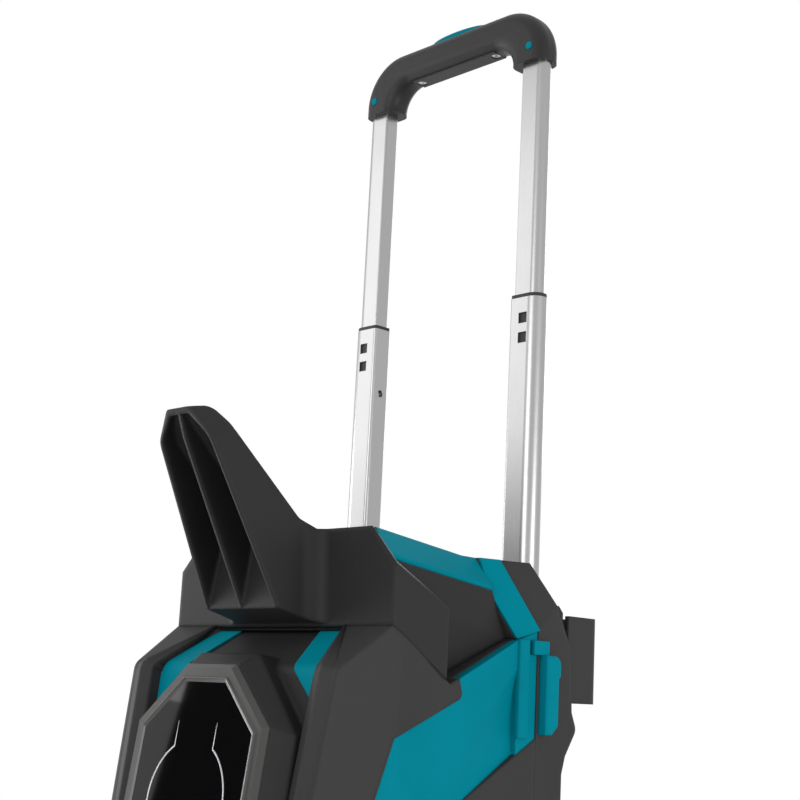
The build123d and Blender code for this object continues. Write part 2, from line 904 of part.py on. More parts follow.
# Lance holder: a channel on the back of the rear cover, closed behind, with a taller inner wall
holder_mid = (holder_x[0] + holder_x[1]) / 2
holder_width = holder_x[1] - holder_x[0]
holder_reach = holder_back_y - spine_top[0]
with BuildPart() as lance_holder:
    with BuildSketch(Plane.XY.offset(holder_z[0])) as holder_outline:
        with Locations((holder_mid, holder_back_y)):
            Rectangle(holder_width, holder_reach, align=(Align.CENTER, Align.MAX))
        fillet(holder_outline.vertices().group_by(Axis.Y)[-1], holder_round)
    extrude(amount=holder_z[1] - holder_z[0])
    with BuildSketch(Plane.XY.offset(holder_z[0])):
        with Locations((holder_x[0], holder_back_y - holder_round)):
            Rectangle(holder_wall, holder_reach - holder_round, align=(Align.MIN, Align.MAX))
    extrude(amount=holder_inner_top_z - holder_z[0])
    with BuildSketch(Plane.XY.offset(holder_z[0])) as holder_hollow:
        with Locations((holder_mid, holder_back_y - holder_wall)):
            Rectangle(holder_width - 2 * holder_wall, holder_reach, align=(Align.CENTER, Align.MAX))
        fillet(holder_hollow.vertices().group_by(Axis.Y)[-1], holder_round - holder_wall)
    extrude(amount=holder_inner_top_z - holder_z[0], mode=Mode.SUBTRACT)
    bevel_spot = (holder_mid, holder_back_y, holder_z[0] + holder_bevel)
    split(bisect_by=Plane(origin=bevel_spot, x_dir=(1, 0, 0), z_dir=(0, 1, -1)), keep=Keep.BOTTOM)
    bevel_spot = (holder_mid, holder_back_y, holder_z[1] - holder_bevel)
    split(bisect_by=Plane(origin=bevel_spot, x_dir=(1, 0, 0), z_dir=(0, 1, 1)), keep=Keep.BOTTOM)
    add(rear_block(-seat_gap), mode=Mode.SUBTRACT)
save(lance_holder, "lance_holder")

# Fixed guide tubes, their clamps and the saddles behind the tubes on the rear slope
guide_bore = grown(mid_size, slide_gap)
guide_size = grown(guide_bore, guide_wall)
guide_corner = tube_corner + slide_gap
with BuildPart() as guide_tube:
    add(d_bar(guide_size, guide_foot_z, guide_top_z, guide_corner + guide_wall))
    add(d_bar(guide_bore, guide_foot_z, guide_top_z, guide_corner), mode=Mode.SUBTRACT)
save_both(guide_tube, "guide_tubes")

clamp_back_y = rear_y - wall - seat_gap
guide_room = d_bar(grown(guide_size, seat_gap), guide_foot_z, guide_top_z, guide_corner + guide_wall)
with BuildPart() as tube_clamp:
    for level in clamp_levels:
        with BuildSketch(Plane.XY.offset(level)):
            with Locations((tube_x, tube_y)):
                Rectangle(
                    guide_size[0] + 2 * collar_wall,
                    clamp_back_y - tube_y,
                    align=(Align.CENTER, Align.MIN),
                )
        extrude(amount=clamp_height)
    add(guide_room, mode=Mode.SUBTRACT)
save_both(tube_clamp, "tube_clamps")

with BuildPart() as tube_collar:
    with BuildSketch(Plane.XY.offset(spine_top[1])):
        with Locations((tube_x, collar_back_y)):
            Rectangle(
                mid_size[0] + 2 * collar_wall,
                collar_back_y - tube_y,
                align=(Align.CENTER, Align.MAX),
            )
    extrude(amount=collar_top_z - spine_top[1])
    add(rear_block(-seat_gap), mode=Mode.SUBTRACT)
    add(mid_passage, mode=Mode.SUBTRACT)
save_both(tube_collar, "tube_collars")

# Middle tubes with windows, lock holes, collars and lock blocks, drawn fully extended
mid_top_z = pin_low_z + stage_one - mid_top_drop
mid_foot_z = mid_top_z - mid_length
mid_bore = grown(mid_size, -mid_wall)
mid_bore_corner = tube_corner - mid_wall
pin_z = pin_low_z + stage_one + stage_two
inner_top_z = pin_z + inner_above_pin
inner_foot_z = inner_top_z - inner_length
lock_pin_z = inner_foot_z + inner_lock_height / 2
with BuildPart() as mid_tube:
    add(d_bar(mid_size, mid_foot_z, mid_top_z, tube_corner))
    add(d_bar(mid_bore, mid_foot_z, mid_top_z, mid_bore_corner), mode=Mode.SUBTRACT)
    with BuildSketch(Plane.XZ.offset(-tube_y)):
        with Locations(*((tube_x, mid_top_z - drop) for drop in window_drops)):
            Rectangle(window, window)
    extrude(amount=mid_size[1], mode=Mode.SUBTRACT)
    with BuildSketch(Plane.YZ.offset(tube_x - mid_size[0])):
        with Locations((tube_y, lock_pin_z)):
            Circle(lock_hole_radius)
    extrude(amount=mid_size[0], mode=Mode.SUBTRACT)
save_both(mid_tube, "mid_tubes")

collar_bore = grown(inner_size, 0.75 * slide_gap)
with BuildPart() as mid_collar:
    add(d_bar(grown(mid_size, flange_rim), mid_top_z, mid_top_z + flange_thick, tube_corner))
    add(d_bar(grown(mid_bore, -run_gap), mid_top_z - sleeve_length, mid_top_z, mid_bore_corner))
    add(
        d_bar(collar_bore, mid_top_z - sleeve_length, mid_top_z + flange_thick, mid_bore_corner),
        mode=Mode.SUBTRACT,
    )
save_both(mid_collar, "mid_collars")

with BuildPart() as mid_lock:
    add(d_bar(grown(mid_bore, -seat_gap), mid_foot_z, mid_foot_z + mid_lock_height, mid_bore_corner))
    with BuildSketch(Plane.YZ.offset(tube_x - mid_size[0] / 2)):
        with Locations((tube_y, mid_foot_z + mid_lock_height / 2)):
            Circle(lock_hole_radius)
    extrude(amount=mid_size[0] / 2, mode=Mode.SUBTRACT)
save_both(mid_lock, "mid_locks")

# Inner tubes, fixed in the grip by the cross pins, with the lock blocks and pins at their feet
inner_bore = grown(inner_size, -inner_wall)
inner_corner = tube_corner - mid_wall
inner_bore_corner = inner_corner - inner_wall / 2
flat_x = tube_x - inner_size[0] / 2
with BuildPart() as inner_tube:
    add(d_bar(inner_size, inner_foot_z, inner_top_z, inner_corner))
    add(d_bar(inner_bore, inner_foot_z, inner_top_z, inner_bore_corner), mode=Mode.SUBTRACT)
    with BuildSketch(Plane.XZ.offset(-tube_y)):
        with Locations((tube_x, pin_z)):
            Circle(grip_pin_radius + run_gap)
    extrude(amount=inner_size[1], mode=Mode.SUBTRACT)
    with BuildSketch(Plane.YZ.offset(flat_x - inner_wall)):
        with Locations((tube_y, lock_pin_z)):
            Circle(lock_hole_radius)
    extrude(amount=inner_size[0] / 2, mode=Mode.SUBTRACT)
save_both(inner_tube, "inner_tubes")

with BuildPart() as inner_lock:
    add(
        d_bar(
            grown(inner_bore, -seat_gap),
            inner_foot_z,
            inner_foot_z + inner_lock_height,
            inner_bore_corner,
        )
    )
    with BuildSketch(Plane.YZ.offset(flat_x)):
        with Locations((tube_y, lock_pin_z)):
            Circle(lock_pin_radius + run_gap)
    extrude(amount=lock_pin_length + button_travel, mode=Mode.SUBTRACT)
save_both(inner_lock, "inner_locks")

with BuildPart() as lock_pin:
    with BuildSketch(Plane.YZ.offset(flat_x + seat_gap)):
        with Locations((tube_y, lock_pin_z)):
            Circle(lock_pin_radius)
    extrude(amount=lock_pin_length)
    chamfer(lock_pin.faces().sort_by(Axis.X)[0].edges(), lock_pin_radius / 4)
save_pair(lock_pin, "lock_pin")

# Grip: a hollow arch with an under plate
grip_plane = Plane(origin=(0, tube_y, pin_z), x_dir=(1, 0, 0), z_dir=(0, -1, 0))
leg_inner = grip_half - grip_leg
cavity_half = grip_depth / 2 - 1.3 * grip_wall
mouth_half = under_plate[0] / 2 - grip_wall * 2.5
mouth_depth = under_plate[1] / 2 - collar_wall / 2
plate_z = pin_z + grip_under
ceiling = grip_top - grip_wall
inner_socket = d_bar(
    grown(inner_size, seat_gap / 2), pin_z - grip_leg_drop, pin_z + socket_top, inner_corner
)


def arch_points(inset):
    """Corners of the grip's front outline, moved inwards."""
    half = grip_half - inset
    inner = leg_inner + inset
    top = grip_top - inset
    under = grip_under + inset
    foot = inset - grip_leg_drop
    right = ((half, top), (half, foot), (inner, foot), (inner, under))
    return (*right, *((-x, z) for x, z in reversed(right)))


with BuildPart() as grip_cavity:
    with BuildSketch(grip_plane) as cavity_outline:
        Polygon(*arch_points(grip_wall), align=None)
        fillet(cavity_outline.vertices().group_by(Axis.Y)[-1], grip_outer_round - grip_wall)
        with Locations((0, socket_top)):
            Rectangle(2 * grip_half, grip_top, align=(Align.CENTER, Align.MIN), mode=Mode.INTERSECT)
    extrude(amount=cavity_half, both=True)

with BuildPart() as grip:
    with BuildSketch(grip_plane) as arch_outline:
        Polygon(*arch_points(0), align=None)
        fillet(arch_outline.vertices().group_by(Axis.Y)[-1], grip_outer_round)
    extrude(amount=grip_depth / 2, both=True)
    rim_edges = grip.faces().filter_by(Axis.Y).edges()
    fillet(rim_edges.filter_by(lambda edge: edge.center().Z > pin_z - grip_leg_drop + run_gap), grip_edge_round)
    add(grip_cavity.part, mode=Mode.SUBTRACT)
    with BuildSketch(Plane.XY.offset(pin_z + ceiling)):
        with Locations((0, tube_y)):
            Ellipse(button_size[0] / 2 + slide_gap, button_size[1] / 2 + slide_gap)
    extrude(amount=grip_wall, mode=Mode.SUBTRACT)
    with BuildSketch(Plane.XY.offset(plate_z)):
        with Locations((0, tube_y)):
            Rectangle(under_plate[0] + 2 * seat_gap, under_plate[1] + 2 * seat_gap)
    extrude(amount=under_plate[2] + seat_gap, mode=Mode.SUBTRACT)
    with BuildSketch(Plane.XY.offset(plate_z)):
        with Locations((0, tube_y)):
            Rectangle(2 * mouth_half, 2 * mouth_depth)
    extrude(amount=grip_wall, mode=Mode.SUBTRACT)
    add(inner_socket, mode=Mode.SUBTRACT)
    add(mirror(inner_socket, about=Plane.YZ, mode=Mode.PRIVATE), mode=Mode.SUBTRACT)
    with BuildSketch(Plane.XZ.offset(-tube_y)):
        with Locations((tube_x, pin_z), (-tube_x, pin_z)):
            Circle(grip_pin_radius + run_gap)
    extrude(amount=grip_depth / 2, mode=Mode.SUBTRACT)
save(grip, "grip")

screw_x = (mouth_half + under_plate[0] / 2) / 2
with BuildPart() as grip_plate:
    with BuildSketch(Plane.XY.offset(plate_z)):
        with Locations((0, tube_y)):
            Rectangle(under_plate[0], under_plate[1])
        with Locations((screw_x, tube_y), (-screw_x, tube_y)):
            Circle(screw_head_radius + seat_gap, mode=Mode.SUBTRACT)
    extrude(amount=under_plate[2])
save(grip_plate, "grip_plate")

with BuildPart() as grip_screw:
    with BuildSketch(Plane.XY.offset(plate_z + under_plate[2] / 4)):
        with Locations((screw_x, tube_y)):
            Circle(screw_head_radius)
            RegularPolygon(screw_head_radius / 2, 6, mode=Mode.SUBTRACT)
    extrude(amount=under_plate[2] * 3 / 4)
    with BuildSketch(Plane.XY.offset(plate_z + under_plate[2] * 3 / 4)):
        with Locations((screw_x, tube_y)):
            Circle(screw_head_radius)
    extrude(amount=under_plate[2] / 4)
save_both(grip_screw, "grip_screws")

with BuildPart() as grip_pin:
    with BuildSketch(Plane.XZ.offset(-tube_y + inner_bore[1] / 2 - inner_wall)):
        with Locations((tube_x, pin_z)):
            Circle(grip_pin_radius)
    extrude(amount=grip_depth / 2 - inner_bore[1] / 2 + 1.5 * inner_wall)
    chamfer(grip_pin.faces().sort_by(Axis.Y)[0].edges(), inner_wall / 3)
save_both(grip_pin, "grip_pins")

# Release button on top of the grip, with the carrier and push rods that it moves
flange_top = ceiling - slide_gap
flange_floor = flange_top - button_flange
with BuildPart() as release_button:
    with BuildSketch(Plane.XY.offset(pin_z + flange_floor)):
        with Locations((0, tube_y)):
            Ellipse(button_size[0] / 2 + button_flange, cavity_half - slide_gap)
    extrude(amount=button_flange)
    with BuildSketch(Plane.XY.offset(pin_z + flange_floor)):
        with Locations((0, tube_y)):
            Ellipse(button_size[0] / 2, button_size[1] / 2)
    extrude(amount=grip_top + button_proud - flange_floor)
    fillet(release_button.faces().sort_by(Axis.Z)[-1].edges(), button_proud / 2)
save(release_button, "release_button")

carrier_top = flange_floor - 1.7 * carrier_height
rod_x = tube_x - 2 * rod_radius
carrier_floor = carrier_top - carrier_height
rod_foot_z = inner_foot_z + inner_lock_height + button_travel + slide_gap
with BuildPart() as button_carrier:
    with BuildSketch(Plane.XY.offset(pin_z + carrier_floor)):
        with Locations((0, tube_y)):
            Rectangle(2 * (rod_x + rod_radius), carrier_width)
    extrude(amount=carrier_height)
    with BuildSketch(Plane.XY.offset(pin_z + carrier_floor)):
        with Locations((0, tube_y)):
            Rectangle(button_size[0] / 2, carrier_width)
    extrude(amount=flange_floor - carrier_floor)
    with BuildSketch(Plane.XY.offset(rod_foot_z)):
        with Locations((rod_x, tube_y), (-rod_x, tube_y)):
            Circle(rod_radius)
    extrude(amount=pin_z + carrier_floor - rod_foot_z)
save(button_carrier, "button_carrier")

# Base tray with posts for the guide tubes and axle, cradle posts for the pump and lugs for the screws
base_points = (
    (0, pillar_foot_y),
    (pillar_foot_half, pillar_foot_y),
    (base_half, base_side_y),
    (base_half, rear_y),
    (0, rear_y),
)
floor_z = base_z + base_wall
lug_thick = 2 * wall
lug_top_z = lug_z + screw_head_radius * 2
cradle_spots = [(x * cradle_pitch / 2, motor_y + y * cradle_pitch / 2) for x in (-1, 1) for y in (-1, 1)]
with BuildPart() as base:
    with BuildSketch(Plane.XY.offset(base_z)):
        Polygon(*base_points, align=None)
        mirror(about=Plane.YZ)
    extrude(amount=seam_z - base_z)
    chamfer(base.faces().sort_by(Axis.Z)[0].edges(), base_chamfer)
    with BuildSketch(Plane.XY.offset(floor_z)):
        Polygon(*base_points, align=None)
        mirror(about=Plane.YZ)
        offset(amount=-base_wall, kind=Kind.INTERSECTION)
    extrude(amount=seam_z - floor_z, mode=Mode.SUBTRACT)
    with BuildSketch(Plane.XY.offset(seam_z - base_wall)):
        with Locations((0, pillar_foot_y)):
            Rectangle(2 * front_foot_half, valley_depth + 2 * wall, align=(Align.CENTER, Align.MIN))
    extrude(amount=base_wall)
    with BuildSketch(Plane.XY.offset(floor_z)):
        with Locations((tube_x, clamp_back_y), (-tube_x, clamp_back_y)):
            Rectangle(*post_size, align=(Align.CENTER, Align.MAX))
    extrude(amount=guide_foot_z - floor_z)
    with BuildSketch(Plane.XY.offset(floor_z)):
        with Locations(*cradle_spots):
            Rectangle(cradle_post, cradle_post)
    extrude(amount=cradle_z - floor_z)
    with BuildSketch(Plane.XY.offset(floor_z)):
        with Locations(*((side * x, clamp_back_y) for x in lug_x for side in (-1, 1))):
            Rectangle(4 * screw_head_radius, lug_thick, align=(Align.CENTER, Align.MAX))
    extrude(amount=lug_top_z - floor_z)
    with BuildSketch(Plane.YZ.offset(-base_half)):
        with Locations((axle_y, axle_z)):
            Circle(axle_radius + run_gap)
    extrude(amount=2 * base_half, mode=Mode.SUBTRACT)
    with BuildSketch(Plane.XZ.offset(-clamp_back_y)):
        with Locations(*((side * x, lug_z) for x in lug_x for side in (-1, 1))):
            Circle(screw_radius + run_gap)
    extrude(amount=lug_thick, mode=Mode.SUBTRACT)
save(base, "base")

with BuildPart() as foot_pad:
    with BuildSketch(Plane.XY):
        with Locations((foot_x, foot_y)):
            Circle(foot_radius)
    extrude(amount=base_z)
    chamfer(foot_pad.faces().sort_by(Axis.Z)[0].edges(), foot_radius / 6)
save_both(foot_pad, "foot_pads")

with BuildPart() as housing_screws:
    for side in (-1, 1):
        for x in lug_x:
            with BuildSketch(Plane.XZ.offset(-rear_y)):
                with Locations((side * x, lug_z)):
                    Circle(screw_head_radius)
            extrude(amount=-screw_radius)
            with BuildSketch(Plane.XZ.offset(-rear_y)):
                with Locations((side * x, lug_z)):
                    Circle(screw_radius)
            extrude(amount=wall + lug_thick)
save(housing_screws, "housing_screws")

# Axle, clips and wheels
axle_line = Plane(origin=(0, axle_y, axle_z), x_dir=(0, 1, 0), z_dir=(1, 0, 0))
wheel_out_x = wheel_in_x + wheel_width
hub_out_x = wheel_in_x + hub_length
axle_half = hub_out_x + 2 * clip_thick
web_x = wheel_in_x + wheel_width * 0.4
with BuildPart() as axle:
    with BuildSketch(axle_line.offset(-axle_half)):
        Circle(axle_radius)
    extrude(amount=2 * axle_half)
    chamfer(axle.faces().filter_by(GeomType.PLANE).edges(), axle_radius / 6)
save(axle, "axle")

with BuildPart() as axle_clip:
    with BuildSketch(axle_line.offset(hub_out_x + seat_gap)):
        Circle(axle_radius * 1.7)
        Circle(axle_radius + run_gap, mode=Mode.SUBTRACT)
    extrude(amount=clip_thick)
save_both(axle_clip, "axle_clips")

rim_inner = rim_radius - rim_wall
with BuildPart() as wheel:
    with BuildSketch(axle_line.offset(wheel_in_x)):
        Circle(rim_radius)
        Circle(rim_inner, mode=Mode.SUBTRACT)
    extrude(amount=wheel_width)
    with BuildSketch(axle_line.offset(web_x)):
        Circle(rim_inner + run_gap)
    extrude(amount=web_thick)
    with BuildSketch(axle_line.offset(web_x)):
        with PolarLocations((rim_inner + hub_radius) / 2 + web_thick / 2, spoke_holes):
            SlotOverall((rim_inner - hub_radius) * 0.62, (rim_inner - hub_radius) * 0.45, rotation=90)
    extrude(amount=web_thick, mode=Mode.SUBTRACT)
    with BuildSketch(axle_line.offset(wheel_in_x)):
        Circle(hub_radius)
    extrude(amount=hub_out_x - wheel_in_x)
    with BuildSketch(axle_line.offset(wheel_in_x)):
        Circle(axle_radius + run_gap)
    extrude(amount=wheel_width, mode=Mode.SUBTRACT)
save_pair(wheel, "wheel")

with BuildPart() as tyre:
    with BuildSketch(Plane.XZ.offset(-axle_y)) as tread:
        with Locations(((wheel_in_x + wheel_out_x) / 2, axle_z + rim_radius + run_gap)):
            Rectangle(wheel_width, wheel_radius - rim_radius - run_gap, align=(Align.CENTER, Align.MIN))
        fillet(tread.vertices().group_by(Axis.Y)[-1], tyre_round)
    revolve(axis=Axis((0, axle_y, axle_z), (1, 0, 0)))
save_pair(tyre, "tyre")

with BuildPart() as hub_cap:
    with BuildSketch(axle_line.offset(web_x + web_thick)):
        Circle(cap_radius)
        Circle(cap_radius - cap_wall, mode=Mode.SUBTRACT)
    extrude(amount=axle_half + slide_gap - web_x - web_thick)
    with BuildSketch(axle_line.offset(axle_half + slide_gap)):
        Circle(cap_radius)
    extrude(amount=cap_thick)
    fillet(hub_cap.faces().sort_by(Axis.X)[-1].edges(), cap_thick * 0.6)
save_pair(hub_cap, "hub_cap")

# Motor and pump on one vertical axis, standing on rubber dampers
head_z = cradle_z + damper_height
pump_z = head_z + head_height
motor_z = pump_z + pump_height
cap_z = motor_z + motor_height
stack_z = motor_z + (motor_height - stack_height) / 2
with BuildPart() as motor_dampers:
    with BuildSketch(Plane.XY.offset(cradle_z)):
        with Locations(*cradle_spots):
            Circle(damper_radius)
    extrude(amount=damper_height)
save(motor_dampers, "motor_dampers")

with BuildPart() as pump_head:
    with BuildSketch(Plane.XY.offset(head_z)) as head_outline:
        with Locations((0, motor_y)):
            Rectangle(2 * head_half, 2 * head_half)
        chamfer(head_outline.vertices(), head_chamfer)
    extrude(amount=head_height)
    with BuildSketch(Plane.XY.offset(pump_z)):
        with Locations((0, motor_y)):
            with PolarLocations(piston_circle, piston_count):
                Circle(piston_radius + run_gap)
    extrude(amount=-piston_length, mode=Mode.SUBTRACT)
save(pump_head, "pump_head")

swash_low_z = pump_z + pump_height / 2 - swash_drop
with BuildPart() as pistons:
    with BuildSketch(Plane.XY.offset(pump_z - piston_length + wall)):
        with Locations((0, motor_y)):
            with PolarLocations(piston_circle, piston_count):
                Circle(piston_radius)
    extrude(amount=swash_low_z - slide_gap - pump_z + piston_length - wall)
    fillet(pistons.faces().sort_by(Axis.Z)[-piston_count:].edges(), piston_radius / 3)
save(pistons, "pistons")

pump_bore = pump_radius - 2 * wall
with BuildPart() as pump_housing:
    with BuildSketch(Plane.XY.offset(pump_z)):
        with Locations((0, motor_y)):
            Circle(pump_radius)
            Circle(pump_bore, mode=Mode.SUBTRACT)
    extrude(amount=pump_height)
    with BuildSketch(Plane.XY.offset(motor_z - bearing_height)):
        with Locations((0, motor_y)):
            Circle(pump_radius)
            Circle(bearing_radius + run_gap, mode=Mode.SUBTRACT)
    extrude(amount=bearing_height)
save(pump_housing, "pump_housing")

with BuildPart() as motor_housing:
    with BuildSketch(Plane.XY.offset(motor_z)):
        with Locations((0, motor_y)):
            Circle(motor_radius)
            Circle(motor_radius - motor_wall, mode=Mode.SUBTRACT)
    extrude(amount=motor_height)
save(motor_housing, "motor_housing")

with BuildPart() as stator:
    with BuildSketch(Plane.XY.offset(stack_z)):
        with Locations((0, motor_y)):
            Circle(motor_radius - motor_wall - run_gap)
            Circle(stator_bore, mode=Mode.SUBTRACT)
    extrude(amount=stack_height)
save(stator, "stator")

with BuildPart() as end_cap:
    with BuildSketch(Plane.XY.offset(cap_z)):
        with Locations((0, motor_y)):
            Circle(motor_radius)
            Circle(bearing_radius + run_gap, mode=Mode.SUBTRACT)
    extrude(amount=cap_height)
    chamfer(end_cap.faces().sort_by(Axis.Z)[-1].outer_wire().edges(), cap_height / 3)
save(end_cap, "end_cap")

with BuildPart() as bearings:
    for level in (motor_z - bearing_height, cap_z + cap_height - bearing_height):
        with BuildSketch(Plane.XY.offset(level)):
            with Locations((0, motor_y)):
                Circle(bearing_radius)
                Circle(shaft_radius + run_gap, mode=Mode.SUBTRACT)
        extrude(amount=bearing_height)
save(bearings, "bearings")

fan_z = cap_z + cap_height + 2 * slide_gap
swash_z = swash_low_z + swash_drop
with BuildPart() as motor_shaft:
    with BuildSketch(Plane.XY.offset(swash_z + swash_drop / 2)):
        with Locations((0, motor_y)):
            Circle(shaft_radius)
    extrude(amount=fan_z + fan_height - swash_z - swash_drop / 2)
save(motor_shaft, "motor_shaft")

with BuildPart() as armature:
    with BuildSketch(Plane.XY.offset(stack_z)):
        with Locations((0, motor_y)):
            Circle(stator_bore - air_gap)
            Circle(shaft_radius + run_gap, mode=Mode.SUBTRACT)
    extrude(amount=stack_height)
save(armature, "armature")

fan_hub = 2 * shaft_radius
with BuildPart() as fan:
    with BuildSketch(Plane.XY.offset(fan_z)):
        with Locations((0, motor_y)):
            Circle(fan_hub)
            with PolarLocations(fan_radius / 2, fan_blades):
                Rectangle(fan_radius, blade_thick)
            Circle(shaft_radius + run_gap, mode=Mode.SUBTRACT)
    extrude(amount=fan_height)
save(fan, "fan")

# Swash plate with a slanted underside
swash_plane = face_plane(
    (-swash_radius, motor_y, swash_low_z),
    (swash_radius, motor_y, swash_low_z + swash_drop),
    (0, motor_y + swash_radius, swash_low_z + swash_drop / 2),
    (0, motor_y, motor_z),
)
with BuildPart() as swash_plate:
    with BuildSketch(Plane.XY.offset(swash_low_z)):
        with Locations((0, motor_y)):
            Circle(swash_radius)
    extrude(amount=swash_drop + swash_thick)
    split(bisect_by=swash_plane, keep=Keep.BOTTOM)
    with BuildSketch(Plane.XY.offset(swash_z + swash_drop / 2)):
        with Locations((0, motor_y)):
            Circle(shaft_radius + run_gap)
    extrude(amount=swash_thick, mode=Mode.SUBTRACT)
save(swash_plate, "swash_plate")

# Water inlet at the back and high-pressure outlet at the front
outlet_flange_y = valley_top[0] - lean_run / lean_rise * (valley_top[1] - port_z + outlet_radius + nut_rim)
head_back_y = motor_y + head_half
head_front_y = motor_y - head_half
with BuildPart() as water_inlet:
    with BuildSketch(Plane.XZ.offset(-head_back_y)):
        with Locations((inlet_x, port_z)):
            Circle(inlet_radius)
    extrude(amount=head_back_y - inlet_end_y)
    with BuildSketch(Plane.XZ.offset(-rear_y - seat_gap)):
        with Locations((inlet_x, port_z)):
            RegularPolygon(inlet_radius + nut_rim, 6)
    extrude(amount=-nut_length)
    with BuildSketch(Plane.XZ.offset(-inlet_end_y)):
        with Locations((inlet_x, port_z)):
            Circle(port_bore)
    extrude(amount=inlet_end_y - head_back_y, mode=Mode.SUBTRACT)
    chamfer(water_inlet.faces().sort_by(Axis.Y)[-1].outer_wire().edges(), inlet_radius / 6)
save(water_inlet, "water_inlet")

with BuildPart() as pressure_outlet:
    with BuildSketch(Plane.XZ.offset(-head_front_y)):
        with Locations((outlet_x, port_z)):
            Circle(outlet_radius)
    extrude(amount=head_front_y - outlet_end_y)
    with BuildSketch(Plane.XZ.offset(-outlet_flange_y)):
        with Locations((outlet_x, port_z)):
            RegularPolygon(outlet_radius + nut_rim, 6)
    extrude(amount=nut_length)
    with BuildSketch(Plane.XZ.offset(-outlet_end_y)):
        with Locations((outlet_x, port_z)):
            Circle(port_bore)
    extrude(amount=outlet_end_y - head_front_y, mode=Mode.SUBTRACT)
    chamfer(pressure_outlet.faces().sort_by(Axis.Y)[0].outer_wire().edges(), outlet_radius / 8)
save(pressure_outlet, "pressure_outlet")

with BuildPart() as bypass_valve:
    with BuildSketch(Plane.YZ.offset(head_half)):
        with Locations((motor_y, port_z)):
            RegularPolygon(valve_radius, 6)
    extrude(amount=valve_length)
save(bypass_valve, "bypass_valve")

# Cable gland in the rear cover
with BuildPart() as cable_gland:
    with BuildSketch(Plane.XZ.offset(-rear_y + 3 * wall)):
        with Locations((-inlet_x, gland_z)):
            Circle(gland_radius)
    extrude(amount=-6 * wall)
    with BuildSketch(Plane.XZ.offset(-rear_y - seat_gap)):
        with Locations((-inlet_x, gland_z)):
            RegularPolygon(gland_radius + nut_rim, 6)
    extrude(amount=-wall)
    with BuildSketch(Plane.XZ.offset(-rear_y + 3 * wall)):
        with Locations((-inlet_x, gland_z)):
            Circle(gland_radius / 2)
    extrude(amount=-6 * wall, mode=Mode.SUBTRACT)
save(cable_gland, "cable_gland")
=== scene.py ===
import math

import bmesh
import bpy
from mathutils import Matrix, Vector


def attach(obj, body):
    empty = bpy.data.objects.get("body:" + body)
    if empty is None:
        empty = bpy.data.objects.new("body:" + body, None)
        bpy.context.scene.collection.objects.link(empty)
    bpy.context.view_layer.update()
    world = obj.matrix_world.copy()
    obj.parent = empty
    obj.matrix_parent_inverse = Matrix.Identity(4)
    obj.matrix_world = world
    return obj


bl_info = {
    "name": "Pressure Washer Dressing",
    "version": (1, 0, 0),
    "blender": (4, 5, 0),
    "location": "View3D > Sidebar > Washer",
    "description": "Finishes, trim and studio for an upright pressure washer",
    "category": "Object",
}

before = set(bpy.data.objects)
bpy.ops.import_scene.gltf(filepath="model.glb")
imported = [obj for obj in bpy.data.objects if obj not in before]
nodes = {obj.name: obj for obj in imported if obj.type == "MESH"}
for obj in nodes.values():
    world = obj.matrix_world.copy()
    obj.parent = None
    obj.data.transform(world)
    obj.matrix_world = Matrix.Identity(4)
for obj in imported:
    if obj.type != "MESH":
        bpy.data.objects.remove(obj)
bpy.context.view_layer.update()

MM = 0.001

# The leaning plane of the control panel: its middle, its upward direction and its outward normal
PANEL_MIDDLE = Vector((0.0, -0.1307, 0.326))
PANEL_UP = Vector((0.0, 0.136218, 0.990679))
PANEL_OUT = Vector((0.0, -0.990679, 0.136218))
PANEL_FACE = 29.0 * MM
KNOB_UP = -40.618 * MM


class WasherFinish(bpy.types.PropertyGroup):
    """Colours and roughness of the moulded and metal surfaces."""

    black: bpy.props.FloatVectorProperty(
        name="Black plastic", description="Body, hook and base mouldings", subtype="COLOR",
        size=3, min=0, max=1, default=(0.03, 0.0295, 0.03),
    )
    teal: bpy.props.FloatVectorProperty(
        name="Accent plastic", description="Side panels, trims, rails, pins and button", subtype="COLOR",
        size=3, min=0, max=1, default=(0.0, 0.19, 0.25),
    )
    grip: bpy.props.FloatVectorProperty(
        name="Grip plastic", description="Grip moulding", subtype="COLOR",
        size=3, min=0, max=1, default=(0.011, 0.0108, 0.0108),
    )
    bezel: bpy.props.FloatVectorProperty(
        name="Bezel plastic", description="Ring round the control panel", subtype="COLOR",
        size=3, min=0, max=1, default=(0.056, 0.055, 0.053),
    )
    gloss: bpy.props.FloatVectorProperty(
        name="Panel gloss", description="Control panel", subtype="COLOR",
        size=3, min=0, max=1, default=(0.003, 0.003, 0.0034),
    )
    metal: bpy.props.FloatVectorProperty(
        name="Tube metal", description="Handle tubes", subtype="COLOR",
        size=3, min=0, max=1, default=(0.38, 0.38, 0.385),
    )
    edge_round: bpy.props.FloatProperty(
        name="Edge round", description="Radius of the soft moulded edges", unit="LENGTH",
        min=0, default=5.0 * MM,
    )


